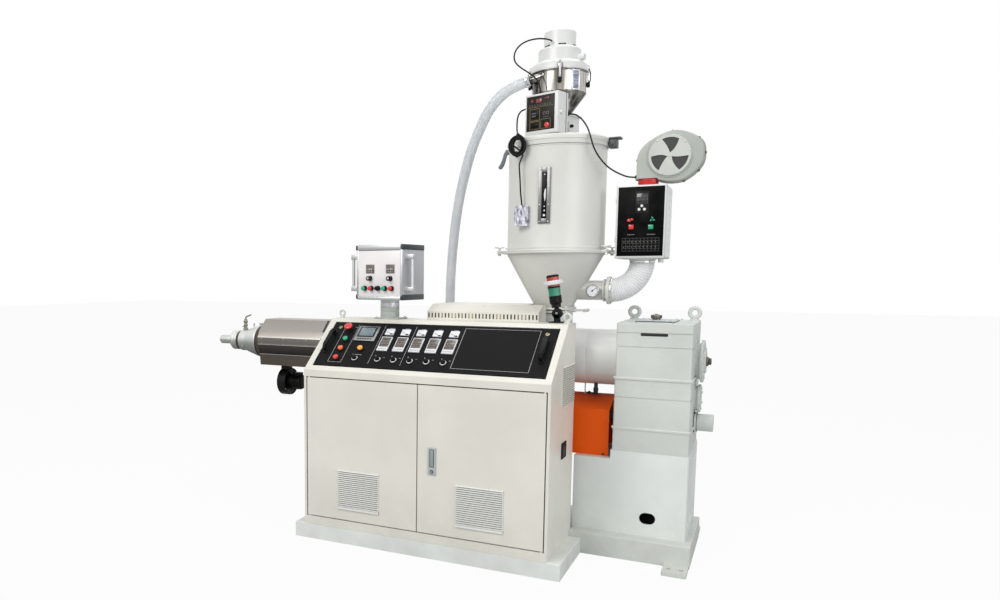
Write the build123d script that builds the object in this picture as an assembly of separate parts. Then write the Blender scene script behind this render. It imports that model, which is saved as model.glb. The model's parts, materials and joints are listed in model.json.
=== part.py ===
from build123d import *
import math
import os

# Plastic extruder with cabinet, gearbox, hopper dryer and vacuum loader.
# Millimetres. +X runs from the die to the gearbox, -Y is the operator's side, +Z is up.
# The origin is on the floor, straight below the middle of the feed hopper.

os.makedirs("parts", exist_ok=True)

# Driving dimensions
screw_axis_z = 1000.0        # height of the screw's centre line
seat_gap = 0.3               # gap between curved or soft pieces that rest on each other
run_gap = 0.1                # radial clearance of a pin or spindle in its hole
door_gap = 6.0               # gap round the doors and the control panel

# Bases and lower frame
base_left, base_right = -1215.0, 244.0
base_height = 82.0
rear_base_right = 770.0
rear_base_front, base_back = -301.0, 265.0
rear_base_height = 111.0
foot_left, foot_right = 655.0, 768.0
foot_reach = 140.0           # how far a foot plate sticks out of the rear base
foot_thick = 20.0
foot_hole_radius = 11.0
lower_right = 741.0
lower_front, lower_back = -222.0, 258.0
lower_step_x = 366.0         # the frame is lower left of here, under the coupling guard
lower_step_z, lower_top = 497.0, 545.0
hole_x, hole_z = 557.0, 205.0
hole_length, hole_height, hole_depth = 78.0, 58.0, 60.0

# Gearbox
gear_left, gear_right = 372.0, 738.0
gear_half_depth = 225.0
gear_top = screw_axis_z + 198.0
cover_seam_z = gear_top - 48.0       # underside of the top cover
upper_seam_z = cover_seam_z - 72.0
upper_ledge_z = screw_axis_z - 76.0
middle_seam_z = upper_ledge_z - 104.0
lower_ledge_z = middle_seam_z - 152.0
ledge_step = 1.5             # each section steps in by this much
rim_height, rim_reach = 12.0, 5.0    # machined rims at the two ledges
seam_depth, seam_height = 4.0, 5.0
boss_radius, bearing_cover_radius, bearing_ring_radius = 92.0, 108.0, 60.0
shaft_cover_z, shaft_cover_radius = screw_axis_z - 192.0, 72.0
stub_z, stub_radius, stub_length = screw_axis_z - 316.0, 44.0, 92.0

# Feed end of the barrel
distance_radius = 148.0
distance_left = 206.0
feed_left = -115.0
feed_radius = 112.0
throat_size = 176.0
throat_top_z = screw_axis_z + 233.0
barrel_radius = 62.0
barrel_left = -1932.0
barrel_flange_radius, barrel_flange_thick = 98.0, 36.0
guard_left, guard_right = -1850.0, -118.0
guard_sheet = 2.5
guard_top_z = screw_axis_z + 152.0
guard_low_z = screw_axis_z - 139.0

# Die
die_flange_radius, die_flange_left = 105.0, -2033.0
die_body_radius, die_body_left = 69.0, -2091.0
die_ring_radius, die_ring_left, die_ring_thick = 64.0, -2160.0, 48.0
nozzle_radius, nozzle_left = 29.0, -2270.0
nozzle_shoulder = -2179.0

# Cabinet and sloping desk
cab_left, cab_right = -1154.0, 181.0
cab_front, cab_back = -750.0, -263.0
cab_sheet = 3.0
lip_z = 932.0                # where the slope starts
door_bottom_z, door_top_z = base_height + 45.0, lip_z - 36.0
desk_top_z = 1194.0
slope_back_y = -430.0        # where the slope ends in the flat top
door_split_x = -489.0
door_thick, door_sheet = 20.0, 2.0
frame_return = 14.0          # front edge of each side panel, beside the doors
hinge_inset = 8.0
hinge_radius = 3.0

# Control panel on the slope, measured along the slope from the lip
panel_left_u, panel_right_u = 42.0, 1296.0
panel_low_s, panel_high_s = 40.0, 376.0
panel_sheet = 4.0
column_pitch = 92.0
first_column_u = 402.0

# Operator console
console_x, console_y = -832.0, -350.0
console_turn = -6.5
console_left, console_right = -162.0, 145.0     # from the column's middle
console_front, console_back = -105.0, 131.0
console_low, console_high = desk_top_z + 106.0, desk_top_z + 409.0
console_column_radius = 53.0
console_flange_radius = 88.0
swivel_z = console_low - 42.0

# Signal tower
tower_x, tower_y = 94.0, -306.0
tower_pivot_z = desk_top_z + 48.0
tower_lean = -9.0

# Hopper dryer
hopper_radius = 257.0
cone_low, cone_low_radius = throat_top_z + 29.0, 100.0
hopper_low = cone_low + 298.0
hopper_high = hopper_low + 568.0
hopper_flange_radius, hopper_flange_thick = 284.0, 8.0
lug_reach = 313.0            # radius out to the clamp lugs' ends
hopper_sheet = 4.0
hopper_plate = 203.0
lid_radius, lid_top = 269.0, hopper_high + 27.0

# Dryer blower and heater
heater_x, heater_radius = 455.0, 66.0
duct_z, duct_radius = cone_low + 94.0, 52.0
duct_flange_x, duct_flange_radius = 286.0, 74.0
elbow_radius = 61.0
dryer_box_width, dryer_box_depth = 241.0, 256.0
dryer_box_low = duct_z + 164.0
dryer_box_high = dryer_box_low + 368.0
coupling_x, coupling_radius = 470.0, 49.0
coupling_high = dryer_box_high + 39.0
scroll_x, scroll_z = 575.0, coupling_high + 107.0
scroll_half_width = 58.0

# Vacuum loader
loader_x = -4.0
loader_radius = 142.0
loader_neck_radius = 70.0
loader_base_high = lid_top + 135.0
loader_low, loader_high = loader_base_high + 100.0, loader_base_high + 212.0
loader_lid_radius, loader_lid_high = 150.0, loader_high + 50.0
drum_radius, drum_high = 111.0, loader_lid_high + 76.0
cap_radius, cap_high = 83.0, drum_high + 92.0


def save(shape, name):
    """Write one named piece."""
    export_step(shape, "parts/" + name + ".step")


def block(x0, x1, y0, y1, z0, z1):
    """A box between two corners."""
    size = (x1 - x0, y1 - y0, z1 - z0)
    middle = ((x0 + x1) / 2, (y0 + y1) / 2, (z0 + z1) / 2)
    return Location(middle) * Box(*size)


def rod_x(x0, x1, y, z, radius):
    """A round bar along X."""
    end = Plane(origin=(x0, y, z), x_dir=(0, 1, 0), z_dir=(1, 0, 0))
    return end * extrude(Circle(radius), x1 - x0)


def rod_y(x, y0, y1, z, radius):
    """A round bar along Y."""
    end = Plane(origin=(x, y0, z), x_dir=(1, 0, 0), z_dir=(0, 1, 0))
    return end * extrude(Circle(radius), y1 - y0)


def rod_z(x, y, z0, z1, radius):
    """A round bar along Z."""
    return Location((x, y, z0)) * extrude(Circle(radius), z1 - z0)


def turned_z(points, x=0.0, y=0.0):
    """A piece turned about a vertical axis from its (radius, height) outline."""
    outline = [(r, 0, z) for r, z in points]
    face = make_face(Polyline(*outline, close=True))
    return Location((x, y, 0)) * revolve(face, Axis.Z)


def turned_x(points, y=0.0, z=screw_axis_z):
    """A piece turned about an axis along X from its (x, radius) outline."""
    outline = [(x, 0, r) for x, r in points]
    face = make_face(Polyline(*outline, close=True))
    return Location((0, y, z)) * revolve(face, Axis.X)


def side_profile(points, x0, x1):
    """A (y, z) outline carried from x0 to x1."""
    face = make_face(Polyline(*[(x0, y, z) for y, z in points], close=True))
    return extrude(face, x1 - x0, dir=(1, 0, 0))


def plan(points, z0, z1):
    """An (x, y) outline carried from z0 to z1."""
    face = make_face(Polyline(*[(x, y, z0) for x, y in points], close=True))
    return extrude(face, z1 - z0, dir=(0, 0, 1))


def vertical_edges(shape):
    return shape.edges().filter_by(Axis.Z)


def top_edges(shape):
    return shape.faces().sort_by(Axis.Z)[-1].edges()


# Bases: a full-depth base under the cabinet and barrel, cut back beside the higher rear base
front_base = plan(
    [(base_left, cab_front), (base_right, cab_front), (base_right, rear_base_front),
     (cab_right, rear_base_front), (cab_right, base_back), (base_left, base_back)], 0, base_height)
front_base = chamfer(top_edges(front_base), 3)
save(front_base, "front_base")

rear_base = block(cab_right, rear_base_right, rear_base_front, base_back, 0, rear_base_height)
rear_base = chamfer(top_edges(rear_base), 3)
for side in (-1, 1):
    edge_y = rear_base_front if side < 0 else base_back
    plate = block(foot_left, foot_right, min(edge_y, edge_y + side * foot_reach),
                  max(edge_y, edge_y + side * foot_reach), 0, foot_thick)
    plate = fillet(vertical_edges(plate), 8)
    rear_base += plate
    for inset in (0.24, 0.76):
        hole_place = foot_left + inset * (foot_right - foot_left)
        rear_base -= rod_z(hole_place, edge_y + side * 0.6 * foot_reach, -1, foot_thick + 1, foot_hole_radius)
save(rear_base, "rear_base")

# Lower frame: a closed welded box with a step under the coupling guard
frame_outline = [(cab_right, rear_base_height), (lower_right, rear_base_height), (lower_right, lower_top),
                 (lower_step_x, lower_top), (lower_step_x, lower_step_z), (cab_right, lower_step_z)]
frame_face = make_face(Polyline(*[(x, lower_front, z) for x, z in frame_outline], close=True))
lower_frame = extrude(frame_face, lower_back - lower_front, dir=(0, 1, 0))
lower_frame = fillet(lower_frame.edges().filter_by(Axis.Z).group_by(Axis.X)[-1], 12)
slot = Plane(origin=(hole_x, lower_front, hole_z), x_dir=(1, 0, 0), z_dir=(0, 1, 0)) * extrude(
    SlotOverall(hole_length, hole_height), hole_depth)
lower_frame -= slot
recess = block(lower_right - 10, lower_right + 1, lower_front + 45, lower_back - 45,
               rear_base_height + 45, lower_top - 45)
recess = fillet(recess.edges().filter_by(Axis.X), 14)
lower_frame -= recess
save(lower_frame, "lower_frame")

# Gearbox: cast sections with machined rims at the two ledges and seams between
sections = [(lower_top, lower_ledge_z, 0), (lower_ledge_z, middle_seam_z, ledge_step),
            (middle_seam_z, upper_ledge_z, ledge_step), (upper_ledge_z, upper_seam_z, 2 * ledge_step),
            (upper_seam_z, cover_seam_z, 2 * ledge_step)]
top_inset = 2 * ledge_step
gearbox = None
for low, high, inset in sections:
    piece = block(gear_left + inset, gear_right - inset, -gear_half_depth + inset,
                  gear_half_depth - inset, low, high)
    piece = fillet(vertical_edges(piece), 8)
    gearbox = piece if gearbox is None else gearbox + piece
for ledge in (lower_ledge_z, upper_ledge_z):
    rim = block(gear_left - rim_reach, gear_right + rim_reach, -gear_half_depth - rim_reach,
                gear_half_depth + rim_reach, ledge - rim_height, ledge)
    gearbox += fillet(vertical_edges(rim), 12)
for seam, inset in ((upper_seam_z, top_inset), (middle_seam_z, ledge_step)):
    outer = block(gear_left - 5, gear_right + 5, -gear_half_depth - 5, gear_half_depth + 5,
                  seam - seam_height / 2, seam + seam_height / 2)
    core = block(gear_left + inset + seam_depth, gear_right - inset - seam_depth,
                 -gear_half_depth + inset + seam_depth, gear_half_depth - inset - seam_depth,
                 seam - seam_height, seam + seam_height)
    gearbox -= outer - core
slot_length, slot_height, slot_depth = 130.0, 16.0, 10.0
gear_slot = Plane(origin=(556, -gear_half_depth + top_inset, cover_seam_z - slot_height / 2),
                  x_dir=(1, 0, 0), z_dir=(0, 1, 0))
gearbox -= gear_slot * extrude(SlotOverall(slot_length, slot_height), slot_depth)
side_recess = block(gear_right - 8, gear_right + 1, 128, gear_half_depth - 22,
                    lower_ledge_z + 30, middle_seam_z - 20)
gearbox -= fillet(side_recess.edges().filter_by(Axis.X), 12)
coupling_right = 345.0
gearbox += rod_x(coupling_right, gear_left + 30, 0, stub_z, 38)
gearbox += rod_x(gear_left, gear_left + 30, 0, screw_axis_z, distance_radius)
stub_boss_radius = 50.0
gearbox -= rod_x(gear_left - rim_reach - 1, gear_left, 0, screw_axis_z, distance_radius + seat_gap)
for pad_z, pad_radius, seat_radius in ((screw_axis_z, bearing_cover_radius, boss_radius),
                                       (shaft_cover_z, shaft_cover_radius, shaft_cover_radius),
                                       (stub_z, stub_boss_radius, stub_boss_radius)):
    gearbox += rod_x(gear_right - 30, gear_right, 0, pad_z, pad_radius)
    gearbox -= rod_x(gear_right, gear_right + rim_reach + 1, 0, pad_z, seat_radius + seat_gap)
save(gearbox, "gearbox_housing")

gear_cover = block(gear_left + top_inset, gear_right - top_inset, -gear_half_depth + top_inset,
                   gear_half_depth - top_inset, cover_seam_z, gear_top)
gear_cover = fillet(vertical_edges(gear_cover), 8)
gear_cover = fillet(top_edges(gear_cover), 4)
hatch = block(446, 640, -110, 110, gear_top, gear_top + 6)
gear_cover += fillet(vertical_edges(hatch), 10)
gear_cover += rod_z(536, 0, gear_top + 6, gear_top + 16, 17)
gear_cover += rod_z(536, 0, gear_top + 16, gear_top + 34, 22)


def lifting_eye(x, y, z, ring_radius, bar_radius, height, turn=0.0):
    """A forged ring on a collar and a short neck."""
    ring = Torus(ring_radius, bar_radius)
    ring = Location((x, y, z + height), (90, 0, turn)) * ring
    neck = turned_z([(0, z), (bar_radius * 2.6, z), (bar_radius * 2.4, z + 6), (bar_radius * 1.2, z + 10),
                     (bar_radius * 1.2, z + height - ring_radius), (0, z + height - ring_radius)], x, y)
    return neck + ring


for eye_x in (402, 706):
    gear_cover += lifting_eye(eye_x, 176, gear_top, 25, 9, 40)
save(gear_cover, "gearbox_cover")

bearing_cover = turned_x([(gear_right, 0), (gear_right, boss_radius), (gear_right + 22, boss_radius),
                          (gear_right + 22, bearing_cover_radius), (gear_right + 34, bearing_cover_radius),
                          (gear_right + 36, bearing_cover_radius - 2), (gear_right + 36, bearing_ring_radius),
                          (gear_right + 44, bearing_ring_radius), (gear_right + 46, bearing_ring_radius - 2),
                          (gear_right + 46, 22), (gear_right + 70, 22), (gear_right + 70, 0)])

shaft_cover = turned_x([(gear_right, 0), (gear_right, shaft_cover_radius - 9),
                        (gear_right + 15, shaft_cover_radius - 9),
                        (gear_right + 15, shaft_cover_radius), (gear_right + 26, shaft_cover_radius),
                        (gear_right + 28, shaft_cover_radius - 2), (gear_right + 28, 0)], z=shaft_cover_z)

input_stub = turned_x([(gear_right, 0), (gear_right, stub_boss_radius), (gear_right + 14, stub_boss_radius),
                       (gear_right + 14, stub_radius), (gear_right + stub_length - 4, stub_radius),
                       (gear_right + stub_length, stub_radius - 4), (gear_right + stub_length, 0)], z=stub_z)
save(Compound(children=[bearing_cover, shaft_cover, input_stub]), "gearbox_end_covers")

# Distance piece between gearbox and feed housing
distance = turned_x([(distance_left, 0), (distance_left, distance_radius), (gear_left, distance_radius),
                     (gear_left, 0)])
save(distance, "distance_piece")

# Feed housing: flange, round body and the square throat that the hopper stands on
feed = turned_x([(feed_left, 0), (feed_left, feed_radius), (110, feed_radius), (110, distance_radius),
                 (distance_left, distance_radius), (distance_left, 0)])
half_throat = throat_size / 2
throat = block(-half_throat, half_throat, -half_throat, half_throat, screw_axis_z, throat_top_z)
throat = fillet(vertical_edges(throat), 14)
feed += throat
save(feed, "feed_housing")

# Barrel with its heater bands
barrel_shoulder = barrel_left + barrel_flange_thick
barrel = turned_x([(barrel_left, 0), (barrel_left, barrel_flange_radius),
                   (barrel_shoulder, barrel_flange_radius), (barrel_shoulder, barrel_radius),
                   (feed_left, barrel_radius), (feed_left, 0)])
for band in range(8):
    start = guard_left + 30 + band * 208
    barrel += turned_x([(start, barrel_radius - 5), (start, barrel_radius + 14),
                        (start + 180, barrel_radius + 14), (start + 180, barrel_radius - 5)])
save(barrel, "barrel")

# Barrel guard: faceted stainless cover over the heated barrel, open at its ends
guard_half = [(87, guard_top_z), (159, screw_axis_z + 84), (181, screw_axis_z + 40), (181, screw_axis_z - 5),
              (159, screw_axis_z - 68), (151, guard_low_z)]
guard_outline = [(-y, z) for y, z in guard_half] + guard_half[::-1]
guard_face = make_face(Polyline(*[(guard_left, y, z) for y, z in guard_outline], close=True))
guard_inner = offset(guard_face, amount=-guard_sheet, kind=Kind.INTERSECTION)
guard = extrude(guard_face, guard_right - guard_left, dir=(1, 0, 0))
guard -= extrude(guard_inner, guard_right - guard_left, dir=(1, 0, 0))
save(guard, "barrel_guard")

# Barrel support: a bracket on the base that carries the barrel near its free end
support_x = -930.0
support = block(support_x - 14, support_x + 14, -120, 120, base_height, guard_low_z)
support += block(support_x - 60, support_x + 60, -150, 150, base_height, base_height + 16)

# Die: clamp flange, adapter and nozzle
flare = 85.0
adapter = turned_x([(die_body_left, 0), (die_body_left, die_body_radius), (die_flange_left, die_body_radius),
                    (die_flange_left, die_body_radius + 9), (die_flange_left + flare, die_flange_radius),
                    (barrel_left - 1, die_flange_radius), (barrel_left - 1, barrel_flange_radius),
                    (barrel_left, barrel_flange_radius), (barrel_left, 0)])
ring_right = die_ring_left + die_ring_thick
nozzle = turned_x([(nozzle_left, 8), (nozzle_left, nozzle_radius - 3), (nozzle_left + 5, nozzle_radius),
                   (nozzle_shoulder, nozzle_radius), (nozzle_shoulder, 24), (die_ring_left, 24),
                   (die_ring_left, die_ring_radius - 3), (die_ring_left + 3, die_ring_radius),
                   (ring_right, die_ring_radius), (ring_right, 54), (die_body_left, 54), (die_body_left, 8)])
save(nozzle, "die_nozzle")

# Melt probe on the adapter: a hexagon, a stout body and a bent stem; two clamp bolts behind it
probe_x, probe_foot_z = die_body_left + 20.0, screw_axis_z + die_body_radius - 4.0
probe = Location((probe_x, 0, probe_foot_z)) * extrude(RegularPolygon(17, 6), 16)
probe += rod_z(probe_x, 0, probe_foot_z + 16, probe_foot_z + 76, 12)
probe += rod_y(probe_x, -19, 19, probe_foot_z + 60, 4)
probe_path = FilletPolyline((probe_x, 0, probe_foot_z + 70), (probe_x, 0, probe_foot_z + 92),
                            (probe_x + 45, 0, probe_foot_z + 106), radius=9)
probe += sweep(Plane(origin=probe_path @ 0, z_dir=probe_path % 0) * Circle(5), path=probe_path)
bolt_foot_z = screw_axis_z + die_flange_radius
adapter += rod_z(barrel_left - 14, 0, bolt_foot_z - 6, bolt_foot_z + 14, 10)
adapter += rod_z(barrel_left - 70, 0, bolt_foot_z - 30, bolt_foot_z + 10, 4)
save(adapter + probe, "die_adapter")

# Cooling blowers under the barrel guard: a drum, its motor and the neck up to the guard
blower_z = screw_axis_z - 258.0
drum_r, drum_thick, fan_motor_r, fan_motor_length = 88.0, 66.0, 48.0, 84.0
blowers = []
for index in range(4):
    bx = -1775 + index * 320
    drum_end = bx + drum_thick
    motor_end = drum_end + fan_motor_length
    body = turned_x([(bx, 0), (bx, drum_r - 4), (bx + 4, drum_r), (drum_end, drum_r), (drum_end, drum_r - 8),
                     (drum_end - 6, drum_r - 8), (drum_end - 6, fan_motor_r), (motor_end, fan_motor_r),
                     (motor_end + 8, fan_motor_r - 12), (motor_end + 8, 0)], z=blower_z)
    body += block(bx + 4, drum_end - 2, -80, 20, blower_z, guard_low_z - seat_gap)
    blowers.append(body)
save(Compound(children=blowers), "cooling_blowers")

# Vent cover: slotted sheet cover over the gap between the cabinet top and the barrel guard,
# narrower where it passes the feed throat
vent_left, vent_step_x, vent_right = -637.0, -118.0, -11.0
vent_front, vent_back, vent_step_y = -275.0, 84.0, -125.0
vent_edge_z, vent_top_z, vent_shoulder_y = desk_top_z + 43.0, desk_top_z + 82.0, -190.0
vent_sheet = 3.0
vent_slots, vent_slot_width, vent_slot_height = 32, 8.5, 26.0


def vent_outline(back, sheet):
    """Section of the vent cover, or of the room inside it for a sheet thickness."""
    drop = 1 if sheet else 0
    return [(vent_front + sheet, desk_top_z + sheet), (vent_front + sheet, vent_edge_z - drop),
            (vent_shoulder_y + drop, vent_top_z - sheet), (back - sheet, vent_top_z - sheet),
            (back - sheet, guard_top_z - drop), (cab_back + sheet, guard_top_z - drop),
            (cab_back + sheet, desk_top_z + sheet)]


vent_body = side_profile(vent_outline(vent_back, 0), vent_left, vent_step_x)
vent_body += side_profile(vent_outline(vent_step_y, 0), vent_step_x, vent_right)
vent_body -= side_profile(vent_outline(vent_back, vent_sheet), vent_left + vent_sheet,
                          vent_step_x - vent_sheet)
vent_body -= side_profile(vent_outline(vent_step_y, vent_sheet), vent_step_x - 20, vent_right - vent_sheet)
vent_pitch = (vent_right - vent_left) / vent_slots
slot_middle_z = (desk_top_z + vent_edge_z) / 2
slot_places = [vent_left + (i + 0.5) * vent_pitch for i in range(vent_slots)]
vent_body -= [block(x - vent_slot_width / 2, x + vent_slot_width / 2, vent_front - 1,
                    vent_front + vent_sheet + 1, slot_middle_z - vent_slot_height / 2,
                    slot_middle_z + vent_slot_height / 2) for x in slot_places]
save(vent_body, "vent_cover")

# Coupling guard: folded orange sheet between motor and gearbox, open at its ends
shaft_z = stub_z
coupling_left = 70.0
coupling_half, coupling_edge_z, coupling_ridge_z = 172.0, 740.0, 802.0
fold_sheet = 3.0
fold_slope = (coupling_ridge_z - coupling_edge_z) / coupling_half
inner_edge_z = coupling_edge_z - fold_sheet
inner_ridge_z = inner_edge_z + fold_slope * (coupling_half - fold_sheet)
coupling_guard = side_profile([(-coupling_half, lower_step_z), (-coupling_half, coupling_edge_z),
                               (0, coupling_ridge_z), (coupling_half, coupling_edge_z),
                               (coupling_half, lower_step_z)], coupling_left, coupling_right)
inner_half = coupling_half - fold_sheet
coupling_guard -= side_profile([(-inner_half, lower_step_z - 1), (-inner_half, inner_edge_z),
                                (0, inner_ridge_z), (inner_half, inner_edge_z),
                                (inner_half, lower_step_z - 1)], coupling_left - 1, coupling_right + 1)
save(coupling_guard, "coupling_guard")

# Drive motor behind the cabinet on its stand
motor_left, motor_right = -450.0, 60.0
motor_radius, motor_fins = 165.0, 28
shaft_radius, hub_radius, hub_left, hub_right = 24.0, 62.0, 150.0, 310.0
motor = turned_x([(motor_left, 0), (motor_left, motor_radius - 22), (motor_left + 20, motor_radius),
                  (motor_left + 90, motor_radius), (motor_left + 90, motor_radius - 18),
                  (motor_right - 60, motor_radius - 18), (motor_right - 60, motor_radius),
                  (motor_right - 20, motor_radius), (motor_right - 20, 60), (motor_right, 60),
                  (motor_right, shaft_radius), (hub_left, shaft_radius), (hub_left, hub_radius),
                  (hub_left + 68, hub_radius), (hub_left + 68, hub_radius - 10),
                  (hub_right - 68, hub_radius - 10), (hub_right - 68, hub_radius),
                  (hub_right, hub_radius), (hub_right, shaft_radius),
                  (coupling_right, shaft_radius), (coupling_right, 0)], z=shaft_z)
for i in range(motor_fins):
    fin = block(motor_left + 90, motor_right - 60, -2.5, 2.5, motor_radius - 24, motor_radius - 2)
    motor += Location((0, 0, shaft_z), (360.0 * i / motor_fins, 0, 0)) * fin
foot_z = shaft_z - motor_radius - 14
for foot_x in (motor_left + 120, motor_right - 130):
    motor += block(foot_x, foot_x + 60, -140, 140, foot_z, foot_z + 40)
motor += block(motor_left + 180, motor_left + 320, motor_radius - 40, motor_radius + 50,
               shaft_z - 60, shaft_z + 60)
save(motor, "drive_motor")
stand_left, stand_right = motor_left + 60, motor_right - 20
motor_stand = block(stand_left, stand_right, -150, 150, foot_z - 14, foot_z)
for y in (-140, 120):
    motor_stand += block(stand_left + 20, stand_right - 20, y, y + 20, base_height, foot_z - 14)
motor_stand += block(stand_left, stand_right, -160, 160, base_height, base_height + 14)
save(Compound(children=[support, motor_stand]), "machine_supports")

# Cabinet: side panels that follow the slope, back, floor and the sheet desk
desk_points = [(cab_front, base_height), (cab_front, lip_z), (slope_back_y, desk_top_z),
               (cab_back, desk_top_z), (cab_back, base_height)]
left_side = side_profile(desk_points, cab_left, cab_left + cab_sheet)
right_side = side_profile(desk_points, cab_right - cab_sheet, cab_right)
left_side += block(cab_left, cab_left + frame_return, cab_front, cab_front + cab_sheet,
                   door_bottom_z, door_top_z)
right_side += block(cab_right - frame_return, cab_right, cab_front, cab_front + cab_sheet,
                    door_bottom_z, door_top_z)
side_vent_y0, side_vent_y1 = -538.0, -257.0 - 28.0
side_vent_z0, side_vent_z1 = desk_top_z - 396.0, desk_top_z - 194.0
right_side -= block(cab_right - 10, cab_right + 10, side_vent_y0 + 12, side_vent_y1 - 12,
                    side_vent_z0 + 12, side_vent_z1 - 12)
save(left_side, "cabinet_left_side")
save(right_side, "cabinet_right_side")
inner_left, inner_right = cab_left + cab_sheet, cab_right - cab_sheet
back_panel = block(inner_left, inner_right, cab_back - cab_sheet, cab_back,
                   base_height, desk_top_z - cab_sheet)
save(back_panel, "cabinet_back")
door_left_x = cab_left + frame_return + door_gap
door_right_x = cab_right - frame_return - door_gap
pin_places = (door_left_x + hinge_inset, door_right_x - hinge_inset)
cabinet_floor = block(inner_left, inner_right, cab_front, cab_back - cab_sheet, base_height, door_bottom_z)
for pin_x in pin_places:
    cabinet_floor -= rod_z(pin_x, cab_front + hinge_inset, door_bottom_z - 12, door_bottom_z + 1,
                           hinge_radius + run_gap)
save(cabinet_floor, "cabinet_floor")

slope_run, slope_rise = slope_back_y - cab_front, desk_top_z - lip_z
slope_length = math.hypot(slope_run, slope_rise)
slope_plane = Plane(origin=(cab_left, cab_front, lip_z), x_dir=(1, 0, 0),
                    z_dir=(0, -slope_rise / slope_length, slope_run / slope_length))


def on_slope(u0, u1, s0, s1, w0, w1):
    """A box set on the slope: u along it, s up it, w out of it."""
    return slope_plane * block(u0, u1, s0, s1, w0, w1)


panel_pin_s, panel_pin_w, knuckle = panel_low_s + 7.0, -10.0, 14.0
desk_face = make_face(Polyline(*[(inner_left, y, z) for y, z in
                                 [(cab_front, door_top_z), (cab_front, lip_z), (slope_back_y, desk_top_z),
                                  (cab_back - cab_sheet, desk_top_z), (cab_back - cab_sheet, door_top_z)]],
                               close=True))
desk_inner = offset(desk_face, amount=-cab_sheet, kind=Kind.INTERSECTION)
desk = extrude(desk_face, inner_right - inner_left, dir=(1, 0, 0))
desk -= extrude(desk_inner, inner_right - inner_left, dir=(1, 0, 0))
desk += block(inner_left, inner_right, cab_back - cab_sheet, cab_back, desk_top_z - cab_sheet, desk_top_z)
desk -= block(inner_left, inner_right, cab_back - 2 * cab_sheet, cab_back - cab_sheet, door_top_z - 1,
              desk_top_z - cab_sheet)
desk -= block(inner_left, inner_right, cab_front + 30, cab_back, door_top_z - 1, door_top_z + cab_sheet + 1)
desk -= on_slope(panel_left_u - door_gap, panel_right_u + door_gap, panel_low_s - door_gap,
                 panel_high_s + door_gap, -cab_sheet * 2, cab_sheet)
desk += block(inner_left, inner_right, cab_front, cab_front + 30, door_top_z, door_top_z + 12)
for u0 in (panel_left_u - door_gap - knuckle, panel_right_u + door_gap):
    lug = on_slope(u0, u0 + knuckle, panel_pin_s - 6, panel_pin_s + 6, panel_pin_w - 6, -cab_sheet + 0.5)
    lug -= slope_plane * rod_x(u0 - 1, u0 + knuckle + 1, panel_pin_s, panel_pin_w, hinge_radius + run_gap)
    desk += lug
for pin_x in pin_places:
    desk -= rod_z(pin_x, cab_front + hinge_inset, door_top_z - 1, door_top_z + 13, hinge_radius + run_gap)
desk += lifting_eye(-1118, -380, desk_top_z, 15, 5.5, 26)
desk += lifting_eye(150, -325, desk_top_z, 18, 6.5, 30, 40)
save(desk, "desk_frame")

# Doors: pans of sheet with a slotted vent, hung on pins at their outer corners
vent_width, vent_height, vent_low_z = 245.0, 206.0, door_bottom_z + 66.0
vent_rows = 19


def door(x0, x1, hinge_x, vent_x):
    """A folded door pan with its vent slots and its two hinge pins."""
    z0, z1 = door_bottom_z + door_gap, door_top_z - door_gap
    pan = block(x0, x1, cab_front, cab_front + door_thick, z0, z1)
    pan -= block(x0 + door_sheet, x1 - door_sheet, cab_front + door_sheet, cab_front + door_thick + 1,
                 z0 + door_sheet, z1 - door_sheet)
    row = vent_height / vent_rows
    pan -= [block(vent_x + 8, vent_x + vent_width - 8, cab_front - 1, cab_front + door_sheet + 1,
                  vent_low_z + (i + 0.25) * row, vent_low_z + (i + 0.7) * row) for i in range(vent_rows)]
    for low, high, end in ((z0 - door_gap - 10, z0 + 20, z0), (z1 - 20, z1 + door_gap + 10, z1 - 12)):
        pan += block(hinge_x - hinge_inset + 1, hinge_x + hinge_inset - 1, cab_front + 1, cab_front + 15,
                     end, end + 12)
        pan += rod_z(hinge_x, cab_front + hinge_inset, low, high, hinge_radius)
    return pan


save(door(door_left_x, door_split_x - door_gap / 2, pin_places[0], -948.0), "left_door")
save(door(door_split_x + door_gap / 2, door_right_x, pin_places[1], -279.0), "right_door")
handle_x0, handle_x1 = door_split_x + 61.0, door_split_x + 105.0
handle_z0, handle_z1 = door_bottom_z + 310.0, door_bottom_z + 451.0
handle = block(handle_x0, handle_x1, cab_front - 6, cab_front, handle_z0, handle_z1)
handle = fillet(handle.edges().filter_by(Axis.Y), 6)
handle -= block(handle_x0 + 10, handle_x1 - 10, cab_front - 7, cab_front - 3, handle_z0 + 40, handle_z1 - 12)
handle += block(handle_x0 + 14, handle_x1 - 14, cab_front - 9, cab_front - 3, handle_z0 + 48, handle_z1 - 18)
handle += rod_y((handle_x0 + handle_x1) / 2, cab_front - 10, cab_front, handle_z0 + 22, 9)
save(handle, "door_handle")

side_vent = block(cab_right, cab_right + 4, side_vent_y0, side_vent_y1, side_vent_z0, side_vent_z1)
vent_bar_count = 11
bar_pitch = (side_vent_z1 - side_vent_z0 - 24) / vent_bar_count
side_vent -= [block(cab_right - 1, cab_right + 5, side_vent_y0 + 12, side_vent_y1 - 12,
                    side_vent_z0 + 12 + (i + 0.2) * bar_pitch, side_vent_z0 + 12 + (i + 0.8) * bar_pitch)
              for i in range(vent_bar_count)]
side_latch = block(cab_right, cab_right + 6, -517, -425, base_height + 449, base_height + 530)
side_latch = fillet(side_latch.edges().filter_by(Axis.X), 8)
save(Compound(children=[side_vent, side_latch]), "side_fittings")

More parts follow.
